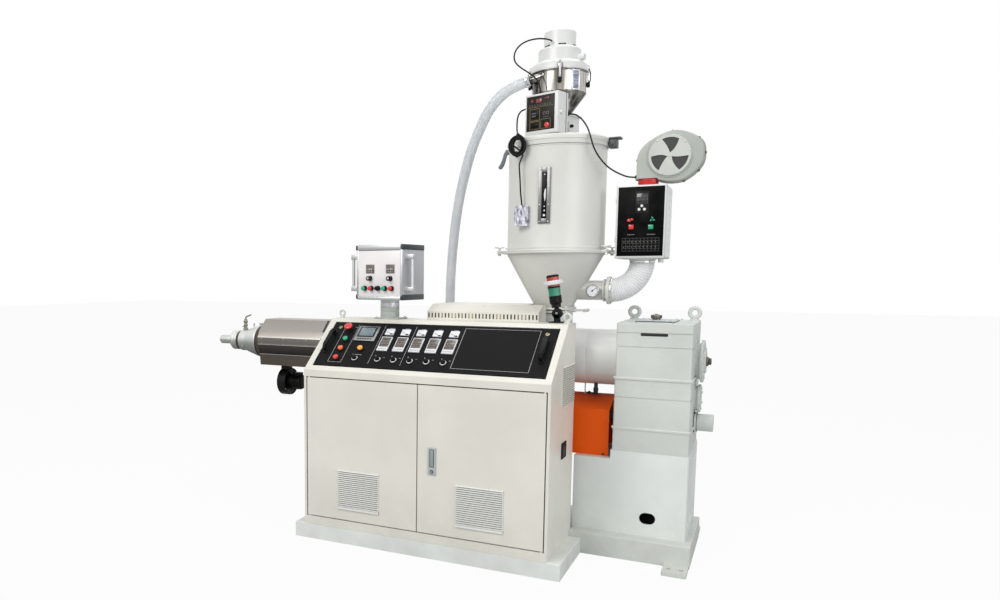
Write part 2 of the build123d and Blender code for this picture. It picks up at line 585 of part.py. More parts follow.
# Control panel: black plate hinged along its lower edge
panel = on_slope(panel_left_u, panel_right_u, panel_low_s, panel_high_s, -panel_sheet, 0)
for u0, step in ((panel_left_u, -1), (panel_right_u - knuckle, 1)):
    panel += on_slope(u0, u0 + knuckle, panel_pin_s - 6, panel_pin_s + 6, panel_pin_w - 6, -1)
    reach = door_gap + knuckle
    start = u0 - reach if step < 0 else u0
    panel += slope_plane * rod_x(start, start + knuckle + reach, panel_pin_s, panel_pin_w, hinge_radius)
# Instruments: five meters over five controllers, and the display
columns = [first_column_u + i * column_pitch for i in range(5)]
meter_s, meter_width, meter_height = 308.0, 50.0, 45.0
controller_s, controller_width, controller_height = 217.5, 60.0, 106.0
knob_s = 102.0
instruments = []
for u in columns:
    for s, width, height, depth in ((meter_s, meter_width, meter_height, 40),
                                    (controller_s, controller_width, controller_height, 70)):
        face = on_slope(u - width / 2, u + width / 2, s - height / 2, s + height / 2, 0, 8)
        face = chamfer(face.faces().sort_by(lambda f: f.center().Z - f.center().Y)[-1].edges(), 2)
        instruments.append(face)
        instruments.append(on_slope(u - width / 2 + 5, u + width / 2 - 5, s - height / 2 + 5,
                                    s + height / 2 - 5, -panel_sheet - depth, -panel_sheet))
instruments.append(on_slope(204, 333, 233, 348, 0, 7))
instruments.append(on_slope(214, 323, 243, 338, -panel_sheet - 50, -panel_sheet))
save(Compound(children=instruments), "panel_instruments")


def turned_stud(u, s, points):
    """A turned piece standing on the slope, from its (radius, height) outline."""
    face = make_face(Polyline(*[(r, 0, w) for r, w in points], close=True))
    return slope_plane * (Location((u, s, 0)) * revolve(face, Axis.Z))


button = [(0, 0), (18, 0), (18, 5), (14, 8), (14, 16), (12, 18), (0, 18)]
mushroom = [(0, 0), (21, 0), (21, 4), (12, 5), (12, 16), (24, 20), (24, 28), (16, 33), (0, 34)]
controls = [turned_stud(141, 331, mushroom)]
for u, s in ((152, 246.6), (153, 172.4), (153, 101.8), (270, 179)):
    controls.append(turned_stud(u, s, button))
for u in [267] + columns:
    knob = turned_stud(u, knob_s, [(0, 0), (17, 0), (17, 5), (12, 6), (12, 14), (0, 14)])
    knob += on_slope(u - 4, u + 4, knob_s - 13, knob_s + 13, 13, 24)
    controls.append(knob)
for u in (84.4, 1247.2):
    controls.append(turned_stud(u, 336.6, [(0, 0), (11, 0), (11, 3), (8, 5), (0, 5)]))
save(Compound(children=controls), "panel_controls")

handle_rise, bar_radius = 32.0, 9.0
for u in (69, 1255):
    bar_path = slope_plane * FilletPolyline((u, 148, 0), (u, 148, handle_rise), (u, 288, handle_rise),
                                            (u, 288, 0), radius=14)
    panel += sweep(Plane(origin=bar_path @ 0, z_dir=bar_path % 0) * Circle(bar_radius), path=bar_path)
    for s in (148, 288):
        panel += slope_plane * (Location((u, s, 0)) * extrude(Circle(bar_radius + 4), 6))
save(panel, "control_panel")

# Operator console on its swivel column
spindle_radius = 18.0
column = turned_z([(0, desk_top_z), (console_flange_radius, desk_top_z),
                   (console_flange_radius, desk_top_z + 8), (console_flange_radius - 5, desk_top_z + 12),
                   (console_column_radius, desk_top_z + 12), (console_column_radius, swivel_z),
                   (spindle_radius, swivel_z), (spindle_radius, swivel_z + 20),
                   (0, swivel_z + 20)], console_x, console_y)
save(column, "console_column")
turn = Location((console_x, console_y, 0), (0, 0, console_turn))
console = block(console_left, console_right, console_front, console_back, console_low, console_high)
console = fillet(vertical_edges(console), 14)
console -= block(console_left + 22, console_right - 20, console_front - 1, console_front + 4,
                 console_low + 20, console_high - 32)
console += turned_z([(spindle_radius + run_gap, swivel_z + seat_gap),
                     (console_column_radius, swivel_z + seat_gap), (console_column_radius, console_low + 1),
                     (0, console_low + 1), (0, swivel_z + 22), (spindle_radius + run_gap, swivel_z + 22)])
save(turn * console, "console_box")

# Tube handles on brackets at both sides of the console, and the pieces on its face
bracket_reach, bracket_width, bracket_height, tube_radius = 48.0, 24.0, 28.0, 9.0
tube_low, tube_high, tube_y = console_low + 46.0, console_low + 250.0, -68.0
trim = []
for side, x in ((-1, console_left), (1, console_right)):
    far_x = x + side * bracket_reach
    handle = rod_z(x + side * (bracket_reach - 11), tube_y, tube_low + 4, tube_high - 4, tube_radius)
    for low in (tube_low, tube_high - bracket_height):
        bracket = block(min(x, far_x), max(x, far_x), tube_y - bracket_width / 2, tube_y + bracket_width / 2,
                        low, low + bracket_height)
        handle += fillet(vertical_edges(bracket), 4)
    trim.append(handle)
face_y, face_shift = console_front + 4.0, 8.0
for x in (face_shift - 73, face_shift + 57):
    trim.append(block(x - 27, x + 27, face_y - 10, face_y, console_low + 146, console_low + 194))
    trim.append(rod_y(x, face_y - 28, face_y, console_low + 118, 13))
for i in range(5):
    trim.append(rod_y(-100 + i * 43.7, face_y - 26, face_y, console_low + 64, 11))
save(turn * Compound(children=trim), "console_trim")

# Signal tower on a tilting foot
foot = block(tower_x - 38, tower_x + 38, tower_y - 30, tower_y + 30, desk_top_z, desk_top_z + 7)
foot = fillet(vertical_edges(foot), 14)
ear_thick, pivot_radius, pivot_pin = 9.0, 26.0, 5.0
for y in (tower_y - 6 - ear_thick, tower_y + 6):
    ear = block(tower_x - 14, tower_x + 14, y, y + ear_thick, desk_top_z + 7, tower_pivot_z)
    ear += rod_y(tower_x, y, y + ear_thick, tower_pivot_z, pivot_radius)
    foot += ear
foot -= rod_y(tower_x, tower_y - 20, tower_y + 20, tower_pivot_z, pivot_pin + run_gap)
save(foot, "tower_foot")
lean = Location((tower_x, tower_y, tower_pivot_z), (0, tower_lean, 0))
arm = block(-11, 11, -5, 5, 0, 44) + rod_y(0, -5, 5, 0, 20)
arm += rod_y(0, -6 - ear_thick, 6 + ear_thick, 0, pivot_pin)
lamp = turned_z([(0, 44), (24, 44), (26, 50), (31, 54), (31, 84), (32, 86), (32, 90), (30, 90), (30, 130),
                 (32, 130), (32, 138), (30, 138), (30, 148), (50, 148), (50, 166), (30, 166), (30, 186),
                 (32, 186), (32, 194), (28, 198), (0, 198)])
save(lean * (arm + lamp), "signal_lamp")

# Hopper cone on its flanged base, with the slide gate between the plates
flange_low = hopper_low - hopper_flange_thick
flange_high = hopper_low + hopper_flange_thick
straight_low = flange_low - 6
lug_angles = (-18, 18, 162, 198)


def clamp_lug(angle, low, high):
    """A lug on the edge of a hopper flange."""
    lug = block(hopper_flange_radius - 20, lug_reach, -15, 15, low, high)
    return Location((0, 0, 0), (0, 0, angle)) * fillet(vertical_edges(lug), 5)


cone = turned_z([(cone_low_radius, cone_low), (hopper_radius, straight_low), (hopper_radius, flange_low),
                 (hopper_flange_radius, flange_low), (hopper_flange_radius, hopper_low),
                 (hopper_radius - hopper_sheet, hopper_low), (hopper_radius - hopper_sheet, straight_low),
                 (cone_low_radius - hopper_sheet, cone_low)])
half_plate = hopper_plate / 2
gate_low, gate_high = throat_top_z + 11, cone_low - 12
for low, high in ((throat_top_z, gate_low), (gate_high, cone_low)):
    plate = block(-half_plate, half_plate, -half_plate, half_plate, low, high)
    cone += fillet(vertical_edges(plate), 10)
cone += block(-half_plate + 12, 168, -62, 62, gate_low, gate_high)
cone += rod_y(176, -50, 50, (gate_low + gate_high) / 2, 9)
for x in (-1, 1):
    for y in (-1, 1):
        cone += rod_z(x * (half_plate - 14), y * (half_plate - 14), throat_top_z, cone_low + 8, 7)
for angle in lug_angles:
    cone += clamp_lug(angle, flange_low, hopper_low)
cone += rod_x(hopper_flange_radius - 10, hopper_flange_radius + 40, 30, flange_low + 2, 5)
save(cone, "hopper_cone")
cone_room = turned_z([(0, cone_low - 1), (cone_low_radius + seat_gap, cone_low - 1),
                      (hopper_radius + seat_gap, straight_low), (hopper_radius + seat_gap, flange_low),
                      (0, flange_low)])

# Hopper barrel and lid
barrel_wall = turned_z([(hopper_radius - hopper_sheet, hopper_low), (hopper_flange_radius, hopper_low),
                        (hopper_flange_radius, flange_high), (hopper_radius, flange_high),
                        (hopper_radius, hopper_high), (hopper_radius - hopper_sheet, hopper_high)])
for angle in lug_angles:
    barrel_wall += clamp_lug(angle, hopper_low, flange_high)
save(barrel_wall, "hopper_barrel")
hopper_room = turned_z([(0, hopper_low), (hopper_radius + seat_gap, hopper_low),
                        (hopper_radius + seat_gap, hopper_high), (0, hopper_high)])
lid = turned_z([(hopper_radius + 2, hopper_high - 22), (hopper_radius + 8, hopper_high - 22),
                (hopper_radius + 8, hopper_high), (lid_radius, hopper_high), (lid_radius, lid_top - 8),
                (lid_radius - 8, lid_top), (0, lid_top), (0, hopper_high), (hopper_radius + 2, hopper_high)])
save(lid, "hopper_lid")

# Sight glass with its frame, wing screws of the clamps, lid clamp and lever
glass_low, glass_high, glass_half = hopper_low + 142.0, hopper_low + 426.0, 31.0
glass = block(-glass_half, glass_half, -hopper_radius - 8, -hopper_radius + 12, glass_low, glass_high)
glass -= hopper_room
window = Plane(origin=(0, -hopper_radius - 9, (glass_low + glass_high) / 2), x_dir=(1, 0, 0), z_dir=(0, 1, 0))
glass -= window * extrude(SlotOverall(252, 22, rotation=90), 6)
clamps = []
screw_reach, screw_high = lug_reach - 13, flange_high + 12
for lug_angle in lug_angles:
    angle = math.radians(lug_angle)
    cx, cy = screw_reach * math.cos(angle), screw_reach * math.sin(angle)
    screw = rod_z(cx, cy, flange_high, screw_high, 8)
    wing = block(-21, 21, -3, 3, screw_high, screw_high + 14)
    wing = fillet(wing.edges().filter_by(Axis.Y), 6)
    clamps.append(screw + Location((cx, cy, 0), (0, 0, lug_angle + 90)) * wing)
latch = block(lid_radius - 6, lid_radius + 46, -26, 26, hopper_high - 32, lid_top - 12)
latch = chamfer(latch.edges().filter_by(Axis.Y), 5)
latch += block(lid_radius - 6, lid_radius + 62, -30, 30, lid_top - 14, lid_top - 5)
latch -= turned_z([(0, hopper_high - 40), (lid_radius + seat_gap, hopper_high - 40),
                   (lid_radius + seat_gap, lid_top + 5), (0, lid_top + 5)])
clamps.append(latch)
lever_x = -lid_radius - 4.0
lever_points = [(lever_x, hopper_high), (lever_x - 12, hopper_high), (lever_x - 56, hopper_high - 96),
                (lever_x - 46, hopper_high - 102)]
lever_face = make_face(Polyline(*[(x, -10, z) for x, z in lever_points], close=True))
lever = extrude(lever_face, 20, dir=(0, 1, 0))
lever += block(lever_x - 6, -hopper_radius - 8 - seat_gap, -12, 12, hopper_high - 20, hopper_high - 2)
clamps.append(lever)
save(Compound(children=[glass] + clamps), "hopper_fittings")

# Air duct from the cone, with its round flange and dial thermometer
duct = rod_x(60, duct_flange_x, 0, duct_z, duct_radius) - cone_room
duct += rod_x(duct_flange_x, duct_flange_x + 15, 0, duct_z, duct_flange_radius)
dial_x, dial_z = 222.0, duct_z - 2.0
duct += rod_y(dial_x, -74, -30, dial_z, 9)
duct += rod_y(dial_x, -88, -74, dial_z, 34)
duct -= rod_y(dial_x, -89, -84, dial_z, 30)
save(duct, "air_duct")

# Corrugated elbow from the duct flange up to the heater
elbow_start = duct_flange_x + 15
bend = heater_x - elbow_start
heater_low = duct_z + bend
pivot = Axis((elbow_start, 0, duct_z + bend), (0, -1, 0))
start_plane = Plane(origin=(elbow_start, 0, duct_z), x_dir=(0, 1, 0), z_dir=(1, 0, 0))
elbow = revolve(start_plane * Circle(elbow_radius), pivot, 90)
ribs, rib_turn = 14, 2.6
for i in range(ribs):
    rib = revolve(start_plane * Circle(elbow_radius + 3), pivot, rib_turn)
    elbow += rib.rotate(pivot, i * (90 - rib_turn) / (ribs - 1))
save(elbow, "air_elbow")

# Dryer housing round the heater: a socket for the elbow below it and a ring for the blower above
dryer_box_left, dryer_box_right = heater_x - dryer_box_width / 2, heater_x + dryer_box_width / 2
dryer_box_front = -dryer_box_depth / 2
heater = rod_z(heater_x, 0, heater_low, dryer_box_low, heater_radius)
coupling_ring = rod_z(coupling_x, 0, dryer_box_high, dryer_box_high + 3, coupling_radius + 9)
save(Compound(children=[heater, coupling_ring]), "dryer_heater")
dryer_box = block(dryer_box_left, dryer_box_right, dryer_box_front, -dryer_box_front,
                  dryer_box_low, dryer_box_high)
dryer_box = fillet(dryer_box.edges().filter_by(Axis.Y), 12)
dryer_box -= block(dryer_box_left + 12, dryer_box_right - 14, dryer_box_front - 1, dryer_box_front + 2.5,
                   dryer_box_low + 13, dryer_box_high - 10)
dryer_box += rod_z(dryer_box_right - 22, dryer_box_front + 60, dryer_box_low - 20, dryer_box_low, 13)
for x in (dryer_box_left + 65, dryer_box_left + 162):
    dryer_box += block(x - 12, x + 12, dryer_box_front - 5, dryer_box_front + 3, dryer_box_low + 142,
                       dryer_box_low + 164)
save(dryer_box, "dryer_control_box")
coupling_low, bead = dryer_box_high + 3, coupling_radius + 2
coupling = turned_z([(0, coupling_low), (coupling_radius, coupling_low), (bead, coupling_low + 3),
                     (bead, coupling_low + 9), (coupling_radius, coupling_low + 12),
                     (coupling_radius, coupling_high - 12), (bead, coupling_high - 9),
                     (bead, coupling_high - 3), (coupling_radius, coupling_high), (0, coupling_high)],
                    coupling_x)
save(coupling, "red_coupling")

# Blower: spiral casing with a rim flange and its motor behind
neck_left, neck_right = scroll_x - 158, coupling_x + 46
casing_back = 46.0
rim_grow = 7.0
scroll_bends = [(-111, 71), (15, 124), (133, 77), (157, 4), (139, -62), (75, -116), (15, -128), (-45, -119)]


def scroll_outline(grow):
    """The spiral outline on the XZ plane, grown outwards by a margin."""
    bends = []
    for x, z in scroll_bends:
        reach = 1 + grow / math.hypot(x, z)
        bends.append((scroll_x + x * reach, 0, scroll_z + z * reach))
    low_left = (neck_left - grow, 0, coupling_high)
    high_left = (neck_left - grow, 0, scroll_z - 10)
    low_right = (neck_right, 0, coupling_high)
    curve = Spline(high_left, *bends, low_right, tangents=((0, 0, 1), (-1, 0, 0.9)))
    return make_face(Wire([Line(low_left, high_left), curve, Line(low_right, low_left)]))


scroll = extrude(Location((0, -scroll_half_width + 8, 0)) * scroll_outline(0),
                 scroll_half_width - 8 + casing_back, dir=(0, 1, 0))
rim = extrude(Location((0, -4, 0)) * scroll_outline(rim_grow), 8, dir=(0, 1, 0))
scroll += rim
eye_radius, ring_radius = 95.0, 113.0
scroll += rod_y(scroll_x, -scroll_half_width, -scroll_half_width + 12, scroll_z, ring_radius)
scroll -= rod_y(scroll_x, -scroll_half_width - 1, -scroll_half_width + 34, scroll_z, eye_radius)
scroll += rod_y(scroll_x, casing_back, casing_back + 100, scroll_z, 72)
scroll += rod_y(scroll_x, casing_back + 100, casing_back + 112, scroll_z, 60)
gland_y, gland_z = -24.0, coupling_high + 11.0
scroll += rod_x(neck_left - 10, neck_left + 1, gland_y, gland_z, 8)
save(scroll, "blower_scroll")


def blade_cut(turn_angle):
    """One of the three blade-shaped windows in the inlet plate."""
    inner, outer, spread = 12.0, 88.0, 54.0
    a0, a1 = math.radians(turn_angle), math.radians(turn_angle + spread)
    middle = (a0 + a1) / 2
    p0 = (inner * math.cos(middle), inner * math.sin(middle))
    p1 = (outer * math.cos(a0), outer * math.sin(a0))
    p2 = (outer * math.cos(middle), outer * math.sin(middle))
    p3 = (outer * math.cos(a1), outer * math.sin(a1))
    bulge = (0.5 * outer * math.cos(a1 - 0.16), 0.5 * outer * math.sin(a1 - 0.16))
    bow = (0.5 * outer * math.cos(a0 - 0.10), 0.5 * outer * math.sin(a0 - 0.10))
    sides = [ThreePointArc(p0, bow, p1), ThreePointArc(p1, p2, p3), ThreePointArc(p3, bulge, p0)]
    return make_face(Wire(sides))


grille_plane = Plane(origin=(scroll_x, -scroll_half_width - 8, scroll_z), x_dir=(1, 0, 0), z_dir=(0, -1, 0))
grille_radius, grille_thick = 101.0, 3.0
grille = Circle(grille_radius)
for start in (62, 182, 302):
    grille -= blade_cut(start)
grille = grille_plane * extrude(grille, grille_thick)
skirt = rod_y(scroll_x, -scroll_half_width - 8, -scroll_half_width, scroll_z, grille_radius)
grille += skirt - rod_y(scroll_x, -scroll_half_width - 9, -scroll_half_width + 1, scroll_z, grille_radius - 5)
save(grille, "blower_grille")

# Vacuum loader: base on the lid, steel body, head with lid, drum and motor cap
loader_turn = Location((loader_x, 0, 0), (0, 0, -18))
base_half = 100.0
loader_base = block(-base_half, base_half, -base_half, base_half, lid_top, lid_top + 10)
loader_base += block(-82, 82, -82, 82, lid_top + 10, loader_base_high - 16)
loader_base += block(-92, 92, -92, 92, loader_base_high - 16, loader_base_high - 8)
loader_base += turned_z([(0, loader_base_high - 8), (loader_neck_radius + 8, loader_base_high - 8),
                         (loader_neck_radius, loader_base_high), (0, loader_base_high)])
box_front, box_back = -228.0, -128.0
loader_base += block(-30, 30, box_back, -80, loader_base_high - 80, loader_base_high - 20)
loader_base += rod_x(80, 104, -60, loader_base_high - 16, 9)
save(loader_turn * loader_base, "loader_base")
body = turned_z([(0, loader_base_high), (loader_neck_radius, loader_base_high), (loader_radius, loader_low),
                 (loader_radius, loader_high - 4), (loader_radius + 5, loader_high - 4),
                 (loader_radius + 5, loader_high), (0, loader_high)], loader_x)
inlet_y, inlet_tilt, inlet_radius = -112.0, 12.0, 21.0
inlet_root = (loader_x - 36, inlet_y, loader_low + 90)
inlet_way = (-math.cos(math.radians(inlet_tilt)), 0, -math.sin(math.radians(inlet_tilt)))
inlet_length = 92.0
inlet = Plane(origin=inlet_root, x_dir=(0, 1, 0), z_dir=inlet_way)
body += inlet * extrude(Circle(inlet_radius), inlet_length)
for angle in (15, 105, 195, 285):
    clasp = block(-9, 9, -loader_radius - 16, -loader_radius + 3, loader_high - 66, loader_high)
    clasp = chamfer(clasp.edges().filter_by(Axis.X), 4)
    body += Location((loader_x, 0, 0), (0, 0, angle)) * clasp
save(body, "loader_body")
head = turned_z([(0, loader_high), (loader_lid_radius, loader_high), (loader_lid_radius, loader_high + 8),
                 (loader_lid_radius - 6, loader_lid_high - 14), (loader_lid_radius - 18, loader_lid_high),
                 (drum_radius + 4, loader_lid_high), (drum_radius, loader_lid_high + 4),
                 (drum_radius, drum_high - 10), (drum_radius - 8, drum_high), (cap_radius, drum_high),
                 (cap_radius, cap_high - 8), (cap_radius - 8, cap_high), (0, cap_high)], loader_x)
for angle in range(0, 360, 60):
    vent = block(-18, 18, -cap_radius - 1, -cap_radius + 6, drum_high + 8, drum_high + 15)
    head -= Location((loader_x, 0, 0), (0, 0, angle + 22)) * vent
plug_z, plug_turn = drum_high + 28.0, -12.6
head += Location((loader_x, 0, 0), (0, 0, plug_turn)) * rod_y(0, -cap_radius - 12, -cap_radius + 5, plug_z, 7)
pipe_stub = rod_y(0, -loader_lid_radius + 4, -drum_radius + 10, loader_lid_high + 18, 17)
head += Location((loader_x, 0, 0), (0, 0, 75)) * pipe_stub
save(head, "loader_head")
box_low, box_high = lid_top + 5.0, lid_top + 210.0
box_left, box_right = -56.0, 139.0
loader_box = block(box_left, box_right, box_front, box_back, box_low, box_high)
loader_box = fillet(vertical_edges(loader_box), 6)
loader_box -= block(box_left + 12, box_right - 14, box_front - 1, box_front + 2.5,
                    box_low + 22, box_high - 10)
loader_box += rod_y(box_left + 137, box_front - 10, box_front + 3, box_low + 40, 13)
loader_box += rod_z(8, -187, box_high, box_high + 7, 8)
loader_box += rod_x(box_left - 12, box_left, box_front + 30, box_high - 61, 8)
save(loader_turn * loader_box, "loader_control_box")


def cord_tube(points, diameter):
    """A lead of straight runs joined by arcs as large as the runs allow."""
    vectors = [Vector(*p) for p in points]
    radii = []
    for before, here, after in zip(vectors, vectors[1:], vectors[2:]):
        turn_angle = (here - before).get_angle(after - here)
        shorter = min((here - before).length, (after - here).length)
        radii.append(0.45 * shorter / math.tan(math.radians(turn_angle / 2)))
    path = FilletPolyline(*points, radius=radii)
    tube = sweep(Plane(origin=path @ 0, z_dir=path % 0) * Circle(diameter / 2), path=path)
    print("lead", diameter, "smallest radius", round(min(radii)), "length", round(path.length),
          "volume ratio", round(tube.volume / (math.pi * diameter ** 2 / 4 * path.length), 4))
    return tube


hose_diameter, lead_diameter = 60.0, 8.0
hose_start = tuple(root + way * (inlet_length + seat_gap) for root, way in zip(inlet_root, inlet_way))
hose_route = [hose_start, (-215, -112, 2443), (-300, -92, 2402), (-378, -50, 2340), (-441, 2, 2260),
              (-500, 52, 2175), (-549, 102, 2087), (-592, 151, 1994), (-631, 196, 1899), (-663, 238, 1801),
              (-690, 275, 1700), (-711, 306, 1596), (-729, 331, 1490), (-740, 348, 1382), (-746, 359, 1260),
              (-749, 366, 1110), (-748, 369, 940), (-745, 369, 760), (-743, 366, 580), (-744, 362, 400)]
save(cord_tube(hose_route, hose_diameter), "suction_hose")
lance_end = hose_route[-1]
lance_radius, cuff_radius, cuff_length = 20.0, 34.0, 44.0
cuff_high = lance_end[2] - 1.0       # clear of the hose's slightly sloping end
cuff_low = cuff_high - cuff_length
lance = turned_z([(16, 30), (lance_radius, 30), (lance_radius, cuff_low), (cuff_radius, cuff_low),
                  (cuff_radius, cuff_high), (16, cuff_high)], lance_end[0], lance_end[1])
save(lance, "hose_lance")

motor_route = [(-25, -94.5, 2656), (-32, -121, 2656), (-58, -141, 2659), (-95, -148, 2661),
               (-138, -148, 2657), (-175, -147, 2643), (-202, -147, 2616), (-211, -147, 2582),
               (-200, -148, 2550), (-168, -152, 2521), (-128, -157, 2493), (-92, -164, 2466),
               (-69, -171, 2437), (-58, -177, 2406), (-54.2, -180.3, 2373)]
save(cord_tube(motor_route, lead_diameter), "motor_lead")
dryer_route = [(76.8, -89.4, 2274), (103, -98, 2271), (130, -112, 2254), (155, -131, 2230), (176, -154, 2203),
               (193, -175, 2176), (206, -191, 2147), (217, -201, 2113), (229, -201, 2078), (243, -193, 2048),
               (259, -178, 2022), (276, -158, 2000), (295, -133, 1980), (318, -105, 1964), (343, -77, 1951),
               (364, -49, 1943), (384, -31, 1939), (neck_left - 10 - seat_gap, gland_y, gland_z)]
save(cord_tube(dryer_route, lead_diameter), "dryer_lead")

# Level sensor's lead: from the control box to a tied coil, and on to the wrapped sensor
coil_x, coil_y, coil_z = -145.0, -265.5, 2103.0
coil_half_thick, coil_half_width, coil_half_height = 13.0, 52.0, 57.0
upper_route = [(-130.4, -167, 2304), (-152, -160.5, 2303), (-170, -158, 2290), (-178, -162, 2268),
               (-177, -174, 2244), (-172, -192, 2221), (-166, -212, 2200), (-159, -232, 2184),
               (-151, -250, 2177), (-145, -265, coil_z + coil_half_height + 3.2)]
lower_route = [(coil_x + 2, coil_y, coil_z - coil_half_height - 0.9), (-138, -265, 2010),
               (-132, -264.5, 1972), (-128.5, -263.5, 1930), (-126, -262, 1884), (-123, -259.5, 1840),
               (-117, -257, 1796.5)]
upper_lead = cord_tube(upper_route, lead_diameter)
save(Compound(children=[upper_lead, cord_tube(lower_route, lead_diameter)]), "sensor_lead")
coil = Location((coil_x, coil_y, coil_z)) * extrude(
    Plane.XZ * Ellipse(coil_half_width, coil_half_height), coil_half_thick, both=True)
coil -= Location((coil_x, coil_y, coil_z)) * extrude(Plane.XZ * Ellipse(19, 38), 14, both=True)
save(coil, "lead_coil")
sensor = block(-156, -82, -271, -240, 1692, 1796)
sensor = fillet(sensor.edges().filter_by(Axis.Z), 10) - hopper_room
save(sensor, "level_sensor")
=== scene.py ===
# %% [markdown]
# # Plastic extruder
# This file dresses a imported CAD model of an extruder: a long heated barrel that melts plastic,
# a gearbox that turns its screw, a cabinet with the controls, and a hopper dryer on top.
# The CAD part fixes every place. Here the surfaces, the screws and the small fittings are added.

# %% Load the frame
import json
from math import atan2, cos, degrees, hypot, radians, sin, sqrt, tau
import bmesh
import bpy
from mathutils import Matrix, Vector

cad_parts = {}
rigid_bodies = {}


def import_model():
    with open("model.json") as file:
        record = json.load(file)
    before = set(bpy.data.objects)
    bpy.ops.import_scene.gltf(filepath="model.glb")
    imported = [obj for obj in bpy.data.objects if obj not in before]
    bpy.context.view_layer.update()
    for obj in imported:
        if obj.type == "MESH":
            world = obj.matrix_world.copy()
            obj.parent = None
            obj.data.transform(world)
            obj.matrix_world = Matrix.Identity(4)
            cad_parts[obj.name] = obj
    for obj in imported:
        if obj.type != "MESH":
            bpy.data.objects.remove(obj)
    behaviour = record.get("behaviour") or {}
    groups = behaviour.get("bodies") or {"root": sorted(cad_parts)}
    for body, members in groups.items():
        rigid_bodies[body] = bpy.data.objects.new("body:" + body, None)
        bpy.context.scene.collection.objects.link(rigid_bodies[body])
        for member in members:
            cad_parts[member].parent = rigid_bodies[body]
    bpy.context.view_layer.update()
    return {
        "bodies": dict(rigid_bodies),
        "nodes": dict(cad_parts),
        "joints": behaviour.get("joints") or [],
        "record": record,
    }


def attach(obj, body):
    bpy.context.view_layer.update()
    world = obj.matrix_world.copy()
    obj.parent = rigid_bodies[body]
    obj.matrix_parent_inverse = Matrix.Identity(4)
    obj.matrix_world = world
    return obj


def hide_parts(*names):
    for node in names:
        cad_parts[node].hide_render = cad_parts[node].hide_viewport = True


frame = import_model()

nodes = frame["nodes"]
mm = 0.001

# %% [markdown]
# ## Camera and light
# The camera stands at chest height, right of the middle, and looks left and a little down. Its
# lens shift moves the frame instead of turning the camera, so the perspective stays the photograph's.
# Soft light from three broad lamps and a pale world show the paint about as it is.

# %% Camera
camera_data = bpy.data.cameras.new("view_camera")
camera = bpy.data.objects.new("view_camera", camera_data)
bpy.context.scene.collection.objects.link(camera)
camera.location = (1.06478, -4.36418, 1.43981)
camera.rotation_euler = (radians(90 - 6.2), 0, radians(27.6))
camera_data.sensor_fit = "HORIZONTAL"
camera_data.sensor_width = 36
camera_data.lens = 28.44
camera_data.shift_x = 0.1419
camera_data.shift_y = 0.0603
bpy.context.scene.camera = camera
bpy.context.scene.view_settings.view_transform = "Standard"
print("camera", tuple(camera.location), "lens", camera_data.lens)

# %% World
world = bpy.data.worlds.new("studio")
bpy.context.scene.world = world
world.use_nodes = True
tree = world.node_tree
tree.nodes.clear()


def add_node(tree, kind, *inputs, **settings):
    """Adds a node; each input is a value, or an output to link to."""
    node = tree.nodes.new(kind)
    for key, value in settings.items():
        setattr(node, key, value)
    for slot, value in zip(node.inputs, inputs):
        if isinstance(value, bpy.types.NodeSocket):
            tree.links.new(value, slot)
        else:
            slot.default_value = value
    return node


def show(thing):
    """Puts an object in the scene."""
    bpy.context.scene.collection.objects.link(thing)
    return thing


ray = add_node(tree, "ShaderNodeLightPath").outputs
seen = add_node(tree, "ShaderNodeMath", ray["Is Camera Ray"], ray["Is Glossy Ray"], operation="MAXIMUM")
seen = add_node(tree, "ShaderNodeMath", seen.outputs[0], ray["Is Transmission Ray"], operation="MAXIMUM")
soft = add_node(tree, "ShaderNodeBackground", (0.97, 0.985, 1.0, 1), 0.42)
white = add_node(tree, "ShaderNodeBackground", (1, 1, 1, 1), 1.0)
both = add_node(tree, "ShaderNodeMixShader", seen.outputs[0], soft.outputs[0], white.outputs[0])
add_node(tree, "ShaderNodeOutputWorld", both.outputs[0])
print("world nodes", len(tree.nodes))


# %% Lamps
def lamp(name, place, target, size, power, colour=(1, 1, 1)):
    """A square soft lamp that looks at a point."""
    data = bpy.data.lights.new(name, "AREA")
    data.size = size
    data.energy = power
    data.color = colour
    thing = show(bpy.data.objects.new(name, data))
    thing.location = place
    aim = Vector(target) - Vector(place)
    thing.rotation_euler = aim.to_track_quat("-Z", "Y").to_euler()


lamp("key_lamp", (-2.2, -5.2, 4.6), (-0.4, 0, 1.2), 3.0, 180, (1.0, 0.985, 0.965))
lamp("fill_lamp", (4.4, -3.2, 2.6), (0.2, 0, 1.2), 3.2, 90, (0.985, 0.99, 1.0))
lamp("top_lamp", (0.2, 0.6, 5.4), (-0.2, 0, 1.2), 3.5, 85)

# %% [markdown]
# ## Floor
# A plain pale floor. To the camera it is nearly the white of the background, and it still takes
# the machine's soft shadow, which shows that the bases stand on it.

# %% Floor
floor_mesh = bpy.data.meshes.new("studio_floor")
floor_mesh.from_pydata([(-30, -30, 0), (30, -30, 0), (30, 30, 0), (-30, 30, 0)], [], [(0, 1, 2, 3)])
floor = show(bpy.data.objects.new("studio_floor", floor_mesh))
floor_look = bpy.data.materials.new("studio_floor_paint")
floor_look.use_nodes = True
tree = floor_look.node_tree
tree.nodes.clear()
matt = add_node(tree, "ShaderNodeBsdfDiffuse", (0.60, 0.605, 0.61, 1))
glow = add_node(tree, "ShaderNodeEmission")
seen = add_node(tree, "ShaderNodeLightPath").outputs["Is Camera Ray"]
share = add_node(tree, "ShaderNodeMath", seen, 0.95, operation="MULTIPLY")
both = add_node(tree, "ShaderNodeMixShader", share.outputs[0], matt.outputs[0], glow.outputs[0])
add_node(tree, "ShaderNodeOutputMaterial", both.outputs[0])
floor_mesh.materials.append(floor_look)
print("floor ready")

